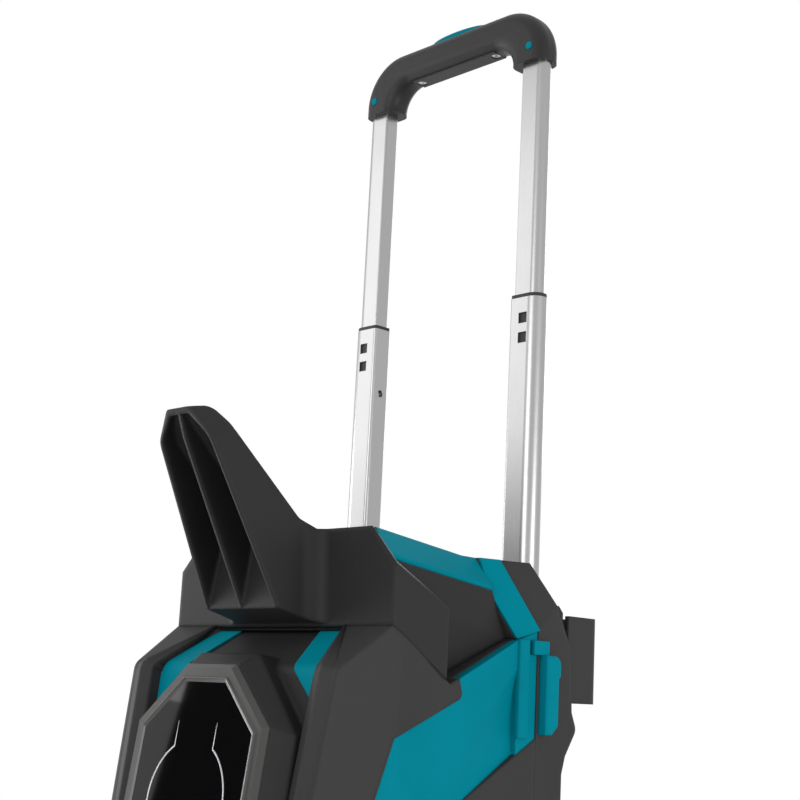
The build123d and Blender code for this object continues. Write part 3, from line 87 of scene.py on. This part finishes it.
class WasherTrim(bpy.types.PropertyGroup):
    """Sizes of the trim on the control panel."""

    stripe_width: bpy.props.FloatProperty(
        name="Stripe width", description="Widest part of the pinstripes",
        unit="LENGTH", default=1.3 * MM,
    )
    stripe_height: bpy.props.FloatProperty(
        name="Stripe height", description="How far the pinstripes stand proud",
        unit="LENGTH", default=0.25 * MM,
    )
    frame_slope: bpy.props.FloatProperty(
        name="Frame slope", description="Width of the sloping edge inside the bezel",
        unit="LENGTH", default=2.6 * MM,
    )
    frame_rise: bpy.props.FloatProperty(
        name="Frame rise", description="Height of the panel frame over the bezel",
        unit="LENGTH", default=1.6 * MM,
    )
    lip_reach: bpy.props.FloatProperty(
        name="Lip reach", description="How far the pillar lips reach inwards from the ridge", unit="LENGTH",
        default=18.0 * MM,
    )
    grip_round: bpy.props.FloatProperty(
        name="Grip round", description="Radius of the grip's inner corners",
        unit="LENGTH", default=22.0 * MM,
    )
    lip_proud: bpy.props.FloatProperty(
        name="Lip height", description="Height of the pillar lips over the ridge",
        unit="LENGTH", default=3.0 * MM,
    )


class WasherStudio(bpy.types.PropertyGroup):
    """Floor, light and camera of the studio."""

    floor_size: bpy.props.FloatProperty(
        name="Floor size", description="Side of the square floor", unit="LENGTH", default=3.2,
    )
    flag_place: bpy.props.FloatVectorProperty(
        name="Flag place", description="Middle of the black flag that keeps reflections off the front",
        subtype="XYZ", size=3, default=(-0.594, -0.844, 0.39),
    )
    flag_size: bpy.props.FloatVectorProperty(
        name="Flag size", description="Width and height of the black flag",
        subtype="XYZ", size=2, default=(0.5, 0.78),
    )
    ambient: bpy.props.FloatProperty(
        name="Ambient light", description="Strength of the even light from all round", default=0.6,
    )
    lens: bpy.props.FloatProperty(
        name="Lens", description="Focal length of the camera, in mm on a 36 mm sensor", default=67.5,
    )


class Value:
    """A shader socket: Python's operators on it add Math nodes."""

    def __init__(self, paint, socket):
        self.paint = paint
        self.socket = socket

    def join(self, operation, first, second):
        return self.paint.node("ShaderNodeMath", {"operation": operation}, {0: first, 1: second})

    def __add__(self, other):
        return self.join("ADD", self, other)

    __radd__ = __add__

    def __sub__(self, other):
        return self.join("SUBTRACT", self, other)

    def __rsub__(self, other):
        return self.join("SUBTRACT", other, self)

    def __mul__(self, other):
        return self.join("MULTIPLY", self, other)

    __rmul__ = __mul__


class Paint:
    """A node tree that is filled by expressions."""

    def __init__(self, tree):
        self.tree = tree
        self.tree.nodes.clear()

    def node(self, kind, settings=None, inputs=None, out=0):
        """Add a node, set it up, feed its sockets and return one of its outputs."""
        made = self.tree.nodes.new(kind)
        for key, value in (settings or {}).items():
            setattr(made, key, value)
        for key, value in (inputs or {}).items():
            if isinstance(value, Value):
                self.tree.links.new(value.socket, made.inputs[key])
            else:
                made.inputs[key].default_value = value
        return Value(self, made.outputs[out]) if len(made.outputs) else None

    def place(self, scale=(1.0, 1.0, 1.0)):
        """Object coordinates through a Mapping node."""
        spot = self.node("ShaderNodeTexCoord", out="Object")
        return self.node("ShaderNodeMapping", None, {"Vector": spot, "Scale": scale})

    def noise(self, scale, detail=2.0, rough=0.5, stretch=(1.0, 1.0, 1.0)):
        return self.node(
            "ShaderNodeTexNoise", None,
            {"Vector": self.place(stretch), "Scale": scale, "Detail": detail, "Roughness": rough},
        )

    def ramp(self, value, low, high):
        """A value stretched so that low gives 0 and high gives 1."""
        return self.node(
            "ShaderNodeMapRange", {"clamp": True},
            {"Value": value, "From Min": low, "From Max": high, "To Min": 0.0, "To Max": 1.0},
        )

    def blend(self, factor, first, second):
        """Colour between two colours."""
        return self.node(
            "ShaderNodeMix", {"data_type": "RGBA", "clamp_factor": True}, {0: factor, 6: first, 7: second}, 2
        )

    def soft_edges(self, radius):
        """Normal that is rounded at the edges, and a mask of those edges."""
        rounded = self.node("ShaderNodeBevel", {"samples": 6}, {"Radius": radius})
        flat = self.node("ShaderNodeNewGeometry", out="Normal")
        feeds = {0: rounded, 1: flat}
        facing = self.node("ShaderNodeVectorMath", {"operation": "DOT_PRODUCT"}, feeds, "Value")
        return rounded, self.ramp(1.0 - facing, 0.01, 0.2)

    def bump(self, height, distance, strength=1.0, normal=None):
        feeds = {"Height": height, "Distance": distance, "Strength": strength}
        if normal is not None:
            feeds["Normal"] = normal
        return self.node("ShaderNodeBump", None, feeds)

    def surface(self, **feeds):
        """Principled surface joined to the output."""
        names = {key.replace("_", " ").title(): value for key, value in feeds.items()}
        renamed = {"Ior": "IOR", "Specular Ior Level": "Specular IOR Level"}
        inputs = {renamed.get(key, key): value for key, value in names.items()}
        shader = self.node("ShaderNodeBsdfPrincipled", None, inputs)
        self.node("ShaderNodeOutputMaterial", None, {"Surface": shader})


def rgba(colour, level=1.0):
    return (colour[0] * level, colour[1] * level, colour[2] * level, 1.0)


def new_paint(name):
    material = bpy.data.materials.new(name)
    material.use_nodes = True
    return material, Paint(material.node_tree)


def moulded_plastic(name, colour, rough, grain=1500.0, depth=0.06, round_edge=1.2 * MM, shine=0.3, wear=0.35):
    """Textured moulded plastic: spark-eroded grain, slow drift of tone, paler rubbed edges."""
    material, paint = new_paint(name)
    fine = paint.noise(grain, 3.0, 0.6)
    cloud = paint.noise(14.0, 3.0, 0.55)
    normal, edge = paint.soft_edges(round_edge)
    tone = paint.blend(cloud, rgba(colour, 0.86), rgba(colour, 1.16))
    tone = paint.blend(edge * wear, tone, rgba([0.6 * c + 0.02 for c in colour], 1.6))
    paint.surface(
        base_color=tone,
        roughness=rough + 0.16 * (fine - 0.5) + 0.1 * (cloud - 0.5) - 0.06 * edge,
        normal=paint.bump(fine, depth * MM, 0.6, normal),
        specular_ior_level=shine,
    )
    return material


def gloss_panel(name, colour):
    """Polished black panel with faint wipe marks."""
    material, paint = new_paint(name)
    wipe = paint.noise(60.0, 4.0, 0.6, (1.0, 1.0, 0.25))
    paint.surface(
        base_color=paint.blend(wipe, rgba(colour, 0.9), rgba(colour, 1.3)),
        roughness=0.02 + 0.03 * wipe,
        specular_ior_level=0.3,
    )
    return material


def drawn_metal(name, colour, rough, streak=2600.0, along=(1.0, 1.0, 0.012)):
    """Anodised metal with fine draw lines along one direction."""
    material, paint = new_paint(name)
    lines = paint.noise(streak, 2.0, 0.5, along)
    cloud = paint.noise(22.0, 2.0, 0.5)
    normal, edge = paint.soft_edges(0.5 * MM)
    paint.surface(
        base_color=paint.blend(lines, rgba(colour, 0.93), rgba(colour, 1.04)),
        metallic=1.0,
        roughness=rough + 0.1 * (lines - 0.5) + 0.06 * (cloud - 0.5) - 0.05 * edge,
        normal=paint.bump(lines, 0.02 * MM, 0.35, normal),
    )
    return material


def cast_metal(name, colour, rough):
    """Sand-cast or rough turned metal."""
    material, paint = new_paint(name)
    pits = paint.noise(700.0, 4.0, 0.65)
    cloud = paint.noise(30.0, 3.0, 0.5)
    normal, edge = paint.soft_edges(0.8 * MM)
    paint.surface(
        base_color=paint.blend(cloud, rgba(colour, 0.8), rgba(colour, 1.1)),
        metallic=1.0,
        roughness=rough + 0.2 * (pits - 0.5) - 0.1 * edge,
        normal=paint.bump(pits, 0.08 * MM, 0.6, normal),
    )
    return material


def rubber(name, colour):
    """Matt rubber with a dusty bloom."""
    material, paint = new_paint(name)
    fine = paint.noise(900.0, 4.0, 0.6)
    bloom = paint.noise(26.0, 3.0, 0.6)
    normal, edge = paint.soft_edges(1.0 * MM)
    tone = paint.blend(paint.ramp(bloom, 0.35, 0.8), rgba(colour), rgba(colour, 1.9))
    paint.surface(
        base_color=paint.blend(edge * 0.5, tone, rgba(colour, 2.6)),
        roughness=0.74 + 0.2 * (fine - 0.5),
        normal=paint.bump(fine, 0.05 * MM, 0.6, normal),
        specular_ior_level=0.3,
    )
    return material


def dress(material, *names):
    """Give CAD nodes a finish."""
    for name in names:
        slots = nodes[name].data.materials
        if len(slots):
            for index in range(len(slots)):
                slots[index] = material
        else:
            slots.append(material)


def clear_selection():
    if bpy.context.mode != "OBJECT":
        bpy.ops.object.mode_set(mode="OBJECT")
    bpy.ops.object.select_all(action="DESELECT")


class WASHER_OT_finishes(bpy.types.Operator):
    """Give every CAD node its moulded, metal or rubber finish"""

    bl_idname = "washer.finishes"
    bl_label = "Finishes"

    def execute(self, context):
        look = context.scene.washer_finish
        soft = look.edge_round
        black = moulded_plastic(
            "satin_black_moulding", look.black, 0.55, round_edge=soft, shine=0.15, wear=0.2
        )
        dress(
            black, "side_shell_left", "side_shell_right", "rear_cover", "lance_holder", "tube_collars",
            "base", "hub_cap_left", "hub_cap_right",
        )
        # Painted shade: front cover, top cover and hook get the body black at 0.65, standing in for the
        # shadow under the yoke and the darker reflections on the hook, not a darker plastic
        painted_shade_tone = [0.65 * channel for channel in look.black]
        painted_shade_black = moulded_plastic("painted_shade_black_moulding", painted_shade_tone, 0.52, round_edge=soft, shine=0.15, wear=0.2)
        dress(painted_shade_black, "front_cover", "top_cover", "hose_hook")
        teal = moulded_plastic(
            "teal_moulding", look.teal, 0.5, depth=0.04, round_edge=0.4 * soft, shine=0.02, wear=0.0
        )
        dress(
            teal, "side_panel_left", "side_panel_right", "accent_strips", "roof_trims", "rear_trims",
            "accessory_rails", "grip_pins", "release_button",
        )
        dress(gloss_panel("polished_panel", look.gloss), "control_panel")
        bezel = moulded_plastic(
            "bezel_moulding", look.bezel, 0.36, depth=0.02, round_edge=0.6 * MM, shine=0.2
        )
        dress(bezel, "bezel")
        grip = moulded_plastic(
            "grip_moulding", look.grip, 0.46, grain=1100.0, depth=0.09, round_edge=1.5 * MM
        )
        dress(grip, "grip", "grip_plate")
        dress(moulded_plastic("knob_moulding", (0.02, 0.02, 0.021), 0.4, round_edge=0.8 * MM), "switch_knob")
        inner = moulded_plastic("inner_moulding", (0.02, 0.02, 0.021), 0.5, grain=800.0)
        dress(
            inner, "switch_box", "tube_clamps", "mid_locks", "inner_locks", "button_carrier", "fan",
            "mid_collars",
        )
        wheel = moulded_plastic("wheel_moulding", (0.02, 0.02, 0.0205), 0.45, grain=900.0)
        dress(wheel, "wheel_left", "wheel_right")
        dress(drawn_metal("anodised_tube", look.metal, 0.3), "mid_tubes", "inner_tubes", "guide_tubes")
        steel = drawn_metal("bright_steel", (0.6, 0.6, 0.61), 0.28, 1800.0, (1.0, 1.0, 1.0))
        dress(
            steel, "axle", "axle_clips", "housing_screws", "grip_screws", "motor_shaft", "bearings",
            "swash_plate", "pistons", "lock_pin_left", "lock_pin_right",
        )
        alloy = cast_metal("cast_alloy", (0.5, 0.5, 0.51), 0.5)
        dress(alloy, "pump_head", "pump_housing", "motor_housing", "end_cap")
        dress(cast_metal("motor_laminations", (0.2, 0.19, 0.18), 0.55), "stator", "armature")
        brass = cast_metal("turned_brass", (0.72, 0.5, 0.2), 0.3)
        dress(brass, "water_inlet", "pressure_outlet", "bypass_valve")
        dress(rubber("foot_rubber", (0.012, 0.012, 0.012)), "foot_pads", "motor_dampers", "cable_gland")
        dress(rubber("tyre_rubber", (0.011, 0.011, 0.011)), "tyre_left", "tyre_right")
        return {"FINISHED"}


def panel_spot(height):
    """Matrix from flat drawing to the leaning panel, at a height over its face."""
    turn = Matrix((Vector((1.0, 0.0, 0.0)), PANEL_UP, PANEL_OUT)).transposed().to_4x4()
    return Matrix.Translation(PANEL_MIDDLE + (PANEL_FACE + height) * PANEL_OUT) @ turn


def pick(test):
    """Select the vertices of the edited mesh that pass a test of their place."""
    bpy.ops.mesh.select_all(action="DESELECT")
    bpy.ops.mesh.select_mode(type="VERT")
    mesh = bmesh.from_edit_mesh(bpy.context.object.data)
    found = [vertex for vertex in mesh.verts if test(vertex.co)]
    if not found:
        raise RuntimeError("no vertex passes the test")
    for vertex in found:
        vertex.select_set(True)
    mesh.select_flush_mode()
    places = [vertex.co.copy() for vertex in found]
    bmesh.update_edit_mesh(bpy.context.object.data)
    return places


def add_modifier(piece, kind, **values):
    """Put a modifier on a piece and apply it."""
    bpy.ops.object.modifier_add(type=kind)
    modifier = piece.modifiers[-1]
    for key, value in values.items():
        setattr(modifier, key, value)
    bpy.ops.object.modifier_apply(modifier=modifier.name)


def settle(piece, name, body, material, spot=None):
    """Fix a finished piece in its place, on its body and in its finish."""
    clear_selection()
    piece.select_set(True)
    bpy.context.view_layer.objects.active = piece
    piece.name = name
    piece.data.name = name
    if spot is not None:
        piece.matrix_world = spot
    bpy.ops.object.transform_apply(location=True, rotation=True, scale=True)
    bpy.ops.object.mode_set(mode="EDIT")
    bpy.ops.mesh.select_all(action="SELECT")
    bpy.ops.mesh.normals_make_consistent(inside=False)
    bpy.ops.object.mode_set(mode="OBJECT")
    bpy.ops.object.shade_smooth_by_angle(angle=math.radians(35.0))
    piece.data.materials.clear()
    piece.data.materials.append(material)
    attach(piece, body)


class WASHER_OT_pinstripes(bpy.types.Operator):
    """Lay the keyhole pinstripe on the control panel"""

    bl_idname = "washer.pinstripes"
    bl_label = "Pinstripes"

    def execute(self, context):
        trim = context.scene.washer_trim
        width = trim.stripe_width
        radius = 45.0 * MM
        low = -41.4 * MM
        rise = 58.8 * MM
        neck_turn = math.radians(59.0)
        tip_rise = 19.0 * MM
        axis = (0.0, 0.0, 1.0)
        clear_selection()
        bpy.ops.mesh.primitive_plane_add(size=width, location=(width / 2, low - radius, 0.0))
        stripe = context.object
        bpy.ops.object.transform_apply(location=True, rotation=True, scale=True)
        bpy.ops.object.mode_set(mode="EDIT")
        pick(lambda place: place.x > width / 2)
        bpy.ops.mesh.delete(type="VERT")
        bpy.ops.mesh.select_all(action="SELECT")
        bpy.ops.mesh.spin(steps=24, angle=-math.radians(90.0), center=(0.0, low, 0.0), axis=axis)
        bpy.ops.mesh.extrude_region_move(TRANSFORM_OT_translate={"value": (0.0, rise, 0.0)})
        bpy.ops.mesh.spin(steps=18, angle=-neck_turn, center=(0.0, low + rise, 0.0), axis=axis)
        bpy.ops.mesh.extrude_region_move(TRANSFORM_OT_translate={"value": (0.0, tip_rise, 0.0)})
        bpy.ops.transform.resize(value=(0.2, 0.2, 0.2))
        bpy.ops.object.mode_set(mode="OBJECT")
        if max(vertex.co.x for vertex in stripe.data.vertices) < radius:
            raise RuntimeError("the pinstripe bends the wrong way")
        add_modifier(stripe, "MIRROR", merge_threshold=0.00001)
        add_modifier(stripe, "SOLIDIFY", thickness=trim.stripe_height, offset=0.0)
        silver = drawn_metal("silver_stripe", (0.55, 0.55, 0.56), 0.32, 1800.0, (1.0, 1.0, 1.0))
        spot = panel_spot(trim.stripe_height / 2)
        settle(stripe, "panel_pinstripe", "housing", silver, spot)
        return {"FINISHED"}


class WASHER_OT_panel_frame(bpy.types.Operator):
    """Raise a frame with a sloping inner edge round the control panel"""

    bl_idname = "washer.panel_frame"
    bl_label = "Panel Frame"

    def execute(self, context):
        trim = context.scene.washer_trim
        foot = 1.5 * MM
        corner = 40.0 * MM
        half_width = 64.34 * MM
        half_height = 114.4 * MM
        clear_selection()
        bpy.ops.mesh.primitive_plane_add(size=2.0)
        ring = context.object
        ring.scale = (half_width, half_height, 1.0)
        bpy.ops.object.transform_apply(location=True, rotation=True, scale=True)
        bpy.ops.object.mode_set(mode="EDIT")
        bpy.ops.mesh.select_all(action="SELECT")
        bpy.ops.mesh.bevel(offset=corner, affect="VERTICES")
        bpy.ops.mesh.select_all(action="SELECT")
        bpy.ops.transform.resize(value=(1.0475 + foot / half_width, 0.935 + foot / half_height, 1.0))
        bpy.ops.mesh.select_mode(type="FACE")
        bpy.ops.mesh.select_all(action="SELECT")
        bpy.ops.mesh.inset(thickness=foot, depth=trim.frame_rise)
        bpy.ops.mesh.inset(thickness=0.5 * MM, depth=0.0)
        bpy.ops.mesh.inset(thickness=trim.frame_slope, depth=-0.8 * trim.frame_rise)
        bpy.ops.mesh.delete(type="FACE")
        bpy.ops.object.mode_set(mode="OBJECT")
        add_modifier(ring, "SOLIDIFY", thickness=0.6 * MM, offset=-1.0)
        sharp = math.radians(15.0)
        add_modifier(ring, "BEVEL", width=0.3 * MM, segments=2, limit_method="ANGLE", angle_limit=sharp)
        look = context.scene.washer_finish
        finish = moulded_plastic(
            "frame_moulding", look.bezel, 0.2, depth=0.01, round_edge=0.4 * MM, shine=0.5
        )
        settle(ring, "panel_frame", "housing", finish, panel_spot(-0.3 * MM))
        return {"FINISHED"}


class WASHER_OT_dial(bpy.types.Operator):
    """Add the tick marks round the knob"""

    bl_idname = "washer.dial"
    bl_label = "Dial"

    def execute(self, context):
        knob = nodes["switch_knob"]
        half = max((knob.matrix_world @ Vector(corner)).x for corner in knob.bound_box)
        spread = math.radians(240.0)
        silver = bpy.data.materials["silver_stripe"]
        clear_selection()
        bpy.ops.mesh.primitive_cube_add(size=1.0, location=(0.0, KNOB_UP + half + 5.0 * MM, 0.0))
        ticks = context.object
        ticks.scale = (0.9 * MM, 3.6 * MM, 0.5 * MM)
        bpy.ops.object.transform_apply(location=True, rotation=True, scale=True)
        bpy.ops.object.mode_set(mode="EDIT")
        bpy.ops.mesh.select_all(action="SELECT")
        bpy.ops.mesh.bevel(offset=0.15 * MM, segments=2, affect="EDGES")
        bpy.ops.mesh.select_all(action="SELECT")
        bpy.ops.transform.rotate(value=spread / 2, orient_axis="Z", center_override=(0.0, KNOB_UP, 0.0))
        bpy.ops.mesh.select_all(action="SELECT")
        bpy.ops.mesh.spin(
            steps=8, angle=spread, dupli=True, center=(0.0, KNOB_UP, 0.0), axis=(0.0, 0.0, 1.0)
        )
        bpy.ops.object.mode_set(mode="OBJECT")
        settle(ticks, "dial_ticks", "housing", silver, panel_spot(0.0))
        return {"FINISHED"}


class WASHER_OT_pillar_lips(bpy.types.Operator):
    """Run a lip along the inner edge of both front pillars"""

    bl_idname = "washer.pillar_lips"
    bl_label = "Pillar Lips"

    def execute(self, context):
        trim = context.scene.washer_trim
        reach = trim.lip_reach
        proud = trim.lip_proud
        bend = Vector((116.5 * MM, -125.2 * MM, 446.0 * MM))
        foot = Vector((95.0 * MM, -178.0 * MM, 62.0 * MM))
        crown = Vector((79.5 * MM, -80.0 * MM, 479.0 * MM))
        slope_out = Vector((0.0, -0.5896, 0.8077))
        bend_out = (PANEL_OUT + slope_out).normalized()
        down = (foot - bend).normalized() * 5.1 * MM
        over = (crown - bend).normalized() * 5.1 * MM
        rows = (
            (foot, PANEL_OUT, 1.0),
            (bend + down, PANEL_OUT, 1.0),
            (bend - 1.0 * MM * bend_out, bend_out, 1.0),
            (bend + over, slope_out, 0.93),
            (crown, slope_out, 0.1),
        )
        section = (
            (5.0 * MM, -2.2 * MM),
            (4.0 * MM, -0.9 * MM),
            (-0.44 * reach, proud),
            (-reach, -1.0 * MM),
            (-reach - 1.0 * MM, -12.0 * MM),
        )
        clear_selection()
        bpy.ops.mesh.primitive_grid_add(
            x_subdivisions=len(section) - 1, y_subdivisions=len(rows) - 1, size=1.0
        )
        lip = context.object
        bpy.ops.object.mode_set(mode="EDIT")
        spots = sorted({(round(vertex.co.y, 5), -round(vertex.co.x, 5)) for vertex in lip.data.vertices})
        if len(spots) != len(rows) * len(section):
            raise RuntimeError("the grid has another number of points")
        places = []
        for line, (middle, out, share) in enumerate(rows):
            for column, (across, height) in enumerate(section):
                goal = middle + share * (across * Vector((1.0, 0.0, 0.0)) + height * out)
                places.append((spots[line * len(section) + column], goal + Vector((0.0, 0.0, 10.0))))
        for (up, across), goal in places:
            found = pick(lambda place: abs(place.y - up) + abs(place.x + across) < 0.001 and place.z < 1.0)
            bpy.ops.transform.translate(value=goal - found[0])
        bpy.ops.mesh.select_all(action="SELECT")
        bpy.ops.transform.translate(value=(0.0, 0.0, -10.0))
        bpy.ops.mesh.normals_make_consistent(inside=False)
        bpy.ops.object.mode_set(mode="OBJECT")
        add_modifier(lip, "SOLIDIFY", thickness=1.0 * MM, offset=0.0)
        sharp = math.radians(14.0)
        add_modifier(lip, "BEVEL", width=0.8 * MM, segments=3, limit_method="ANGLE", angle_limit=sharp)
        black = bpy.data.materials["satin_black_moulding"]
        bpy.ops.object.duplicate()
        twin = context.object
        bpy.ops.transform.resize(value=(-1.0, 1.0, 1.0), center_override=(0.0, 0.0, 0.0))
        settle(twin, "pillar_lip_left", "housing", black)
        settle(lip, "pillar_lip_right", "housing", black)
        return {"FINISHED"}


class WASHER_OT_grip_rounds(bpy.types.Operator):
    """Fill the inner corners of the grip with smooth rounds"""

    bl_idname = "washer.grip_rounds"
    bl_label = "Grip Rounds"

    def execute(self, context):
        trim = context.scene.washer_trim
        radius = trim.grip_round
        edge = 10.95 * MM
        flat = 3.0 * MM
        web = 10.0 * MM
        arch_height = 32.0 * MM
        leg_width = 38.0 * MM
        corners = [nodes["grip"].matrix_world @ Vector(corner) for corner in nodes["grip"].bound_box]
        depth_middle = (min(corner.y for corner in corners) + max(corner.y for corner in corners)) / 2
        under = max(corner.z for corner in corners) - arch_height
        leg_inner = max(corner.x for corner in corners) - leg_width
        centre = Vector((leg_inner - radius, depth_middle, under - radius))
        rim_x = centre.x + radius + edge + 0.05 * MM
        clear_selection()
        bpy.ops.mesh.primitive_circle_add(vertices=32, radius=edge, location=(rim_x, centre.y, centre.z))
        piece = context.object
        bpy.ops.object.transform_apply(location=True, rotation=True, scale=True)
        bpy.ops.object.mode_set(mode="EDIT")
        pick(lambda place: place.x > rim_x + 0.1 * MM)
        bpy.ops.mesh.delete(type="VERT")
        pick(lambda place: place.y > centre.y + 0.1 * MM)
        bpy.ops.transform.translate(value=(0.0, flat, 0.0))
        pick(lambda place: place.y < centre.y - 0.1 * MM)
        bpy.ops.transform.translate(value=(0.0, -flat, 0.0))
        pick(lambda place: abs(place.y - centre.y) > flat + edge - 0.01 * MM)
        bpy.ops.mesh.extrude_region_move(TRANSFORM_OT_translate={"value": (web, 0.0, 0.0)})
        bpy.ops.mesh.select_all(action="SELECT")
        bpy.ops.mesh.spin(steps=24, angle=math.radians(90.0), center=centre, axis=(0.0, 1.0, 0.0))
        bpy.ops.mesh.select_all(action="SELECT")
        bpy.ops.mesh.normals_make_consistent(inside=False)
        bpy.ops.object.mode_set(mode="OBJECT")
        if max(vertex.co.z for vertex in piece.data.vertices) < under:
            raise RuntimeError("the grip round turns the wrong way")
        nearest = min(piece.data.polygons, key=lambda face: (face.center - centre).length)
        if nearest.normal.dot(centre - nearest.center) < 0.0:
            bpy.ops.object.mode_set(mode="EDIT")
            bpy.ops.mesh.select_all(action="SELECT")
            bpy.ops.mesh.flip_normals()
            bpy.ops.object.mode_set(mode="OBJECT")
        add_modifier(piece, "SOLIDIFY", thickness=1.2 * MM, offset=-1.0)
        grip = bpy.data.materials["grip_moulding"]
        bpy.ops.object.duplicate()
        twin = context.object
        bpy.ops.transform.resize(value=(-1.0, 1.0, 1.0), center_override=(0.0, 0.0, 0.0))
        settle(twin, "grip_round_left", "handle", grip)
        settle(piece, "grip_round_right", "handle", grip)
        return {"FINISHED"}


class WASHER_OT_studio(bpy.types.Operator):
    """Set up the floor, the soft light and the camera"""

    bl_idname = "washer.studio"
    bl_label = "Studio"

    def execute(self, context):
        studio = context.scene.washer_studio
        clear_selection()
        bpy.ops.mesh.primitive_plane_add(size=studio.floor_size, location=(0.0, 0.0, 0.0))
        floor = context.object
        floor.name = "studio_floor"
        material, paint = new_paint("pale_floor")
        drift = paint.noise(3.0, 2.0, 0.5)
        paint.surface(
            base_color=paint.blend(drift, (0.8, 0.8, 0.8, 1.0), (0.86, 0.86, 0.86, 1.0)), roughness=0.8
        )
        floor.data.materials.append(material)

        flag_aim = Vector((0.0, -0.15, 0.35))
        flag_spot = Vector(studio.flag_place)
        bpy.ops.mesh.primitive_plane_add(size=1.0)
        flag = context.object
        flag.name = "studio_flag"
        flag.scale = (studio.flag_size[0], studio.flag_size[1], 1.0)
        facing = flag_aim - flag_spot
        facing.z = 0.0
        flag.rotation_euler = facing.to_track_quat("Z", "Y").to_euler()
        flag.location = flag_spot
        bpy.ops.object.transform_apply(location=True, rotation=True, scale=True)
        material, paint = new_paint("black_flag")
        weave = paint.noise(400.0, 2.0, 0.5)
        paint.surface(
            base_color=paint.blend(weave, (0.002, 0.002, 0.002, 1.0), (0.004, 0.004, 0.004, 1.0)),
            roughness=1.0,
            specular_ior_level=0.0,
        )
        flag.data.materials.append(material)
        flag.visible_camera = False
        flag.visible_diffuse = False
        flag.visible_shadow = False

        world = bpy.data.worlds.new("studio_air")
        context.scene.world = world
        world.use_nodes = True
        air = Paint(world.node_tree)
        seen = air.node("ShaderNodeLightPath", out="Is Camera Ray")
        for kind in ("Is Glossy Ray", "Is Transmission Ray"):
            seen = seen + air.node("ShaderNodeLightPath", out=kind)
        level = air.ramp(seen, 0.0, 1.0) * (1.0 - studio.ambient) + studio.ambient
        glow = air.node("ShaderNodeBackground", None, {"Color": (1.0, 1.0, 1.0, 1.0), "Strength": level})
        air.node("ShaderNodeOutputWorld", None, {"Surface": glow})

        for name, spot, aim, size, power in (
            ("side_light", (1.8, 0.0, 0.35), (0.0, 0.0, 0.45), (0.9, 0.9), 14.0),
            ("front_light", (0.2, -1.8, 0.8), (0.0, 0.0, 0.45), (1.0, 1.0), 10.0),
            ("strip_light", (-1.45, -1.3, 1.26), (0.0, 0.0, 0.8), (0.9, 1.1), 5.5),
            ("kick_light", (-1.7, -0.6, 0.45), (0.0, 0.0, 0.42), (0.35, 1.0), 9.0),
            ("rear_light", (-0.8, 1.8, 1.5), (0.0, 0.0, 0.5), (1.2, 1.2), 14.0),
        ):
            lamp = bpy.data.lights.new(name, "AREA")
            lamp.shape = "RECTANGLE"
            lamp.size, lamp.size_y = size
            lamp.energy = power
            holder = bpy.data.objects.new(name, lamp)
            context.scene.collection.objects.link(holder)
            holder.location = spot
            holder.rotation_euler = (Vector(aim) - Vector(spot)).to_track_quat("-Z", "Y").to_euler()

        camera = bpy.data.cameras.new("photo_camera")
        camera.lens = studio.lens
        camera.sensor_width = 36.0
        holder = bpy.data.objects.new("photo_camera", camera)
        context.scene.collection.objects.link(holder)
        right = Vector((0.6975, 0.7149, 0.0494)).normalized()
        ahead = Vector((-0.7082, 0.6772, 0.1994)).normalized()
        up = right.cross(ahead).normalized()
        right = ahead.cross(up)
        turn = Matrix((right, up, -ahead)).transposed().to_4x4()
        holder.matrix_world = Matrix.Translation((0.9108, -0.8315, 0.4229)) @ turn
        context.scene.camera = holder
        context.scene.view_settings.view_transform = "Standard"
        return {"FINISHED"}


class WASHER_PT_panel(bpy.types.Panel):
    """Sidebar panel that lists the dressing steps"""

    bl_idname = "WASHER_PT_panel"
    bl_label = "Pressure Washer"
    bl_space_type = "VIEW_3D"
    bl_region_type = "UI"
    bl_category = "Washer"

    def draw(self, context):
        for step in STEPS:
            self.layout.operator(step.bl_idname)
        for name in GROUPS:
            group = getattr(context.scene, name)
            for key in group.__annotations__:
                self.layout.prop(group, key)


GROUPS = {"washer_finish": WasherFinish, "washer_trim": WasherTrim, "washer_studio": WasherStudio}
STEPS = (
    WASHER_OT_finishes, WASHER_OT_pinstripes, WASHER_OT_panel_frame, WASHER_OT_dial, WASHER_OT_pillar_lips,
    WASHER_OT_grip_rounds, WASHER_OT_studio,
)


def register():
    for group in (*GROUPS.values(), *STEPS, WASHER_PT_panel):
        bpy.utils.register_class(group)
    for key, group in GROUPS.items():
        setattr(bpy.types.Scene, key, bpy.props.PointerProperty(type=group))


def unregister():
    for key in GROUPS:
        delattr(bpy.types.Scene, key)
    for group in (WASHER_PT_panel, *STEPS, *GROUPS.values()):
        bpy.utils.unregister_class(group)


def main():
    register()
    for step in STEPS:
        area, name = step.bl_idname.split(".")
        getattr(getattr(bpy.ops, area), name)()


if __name__ == "__main__":
    main()
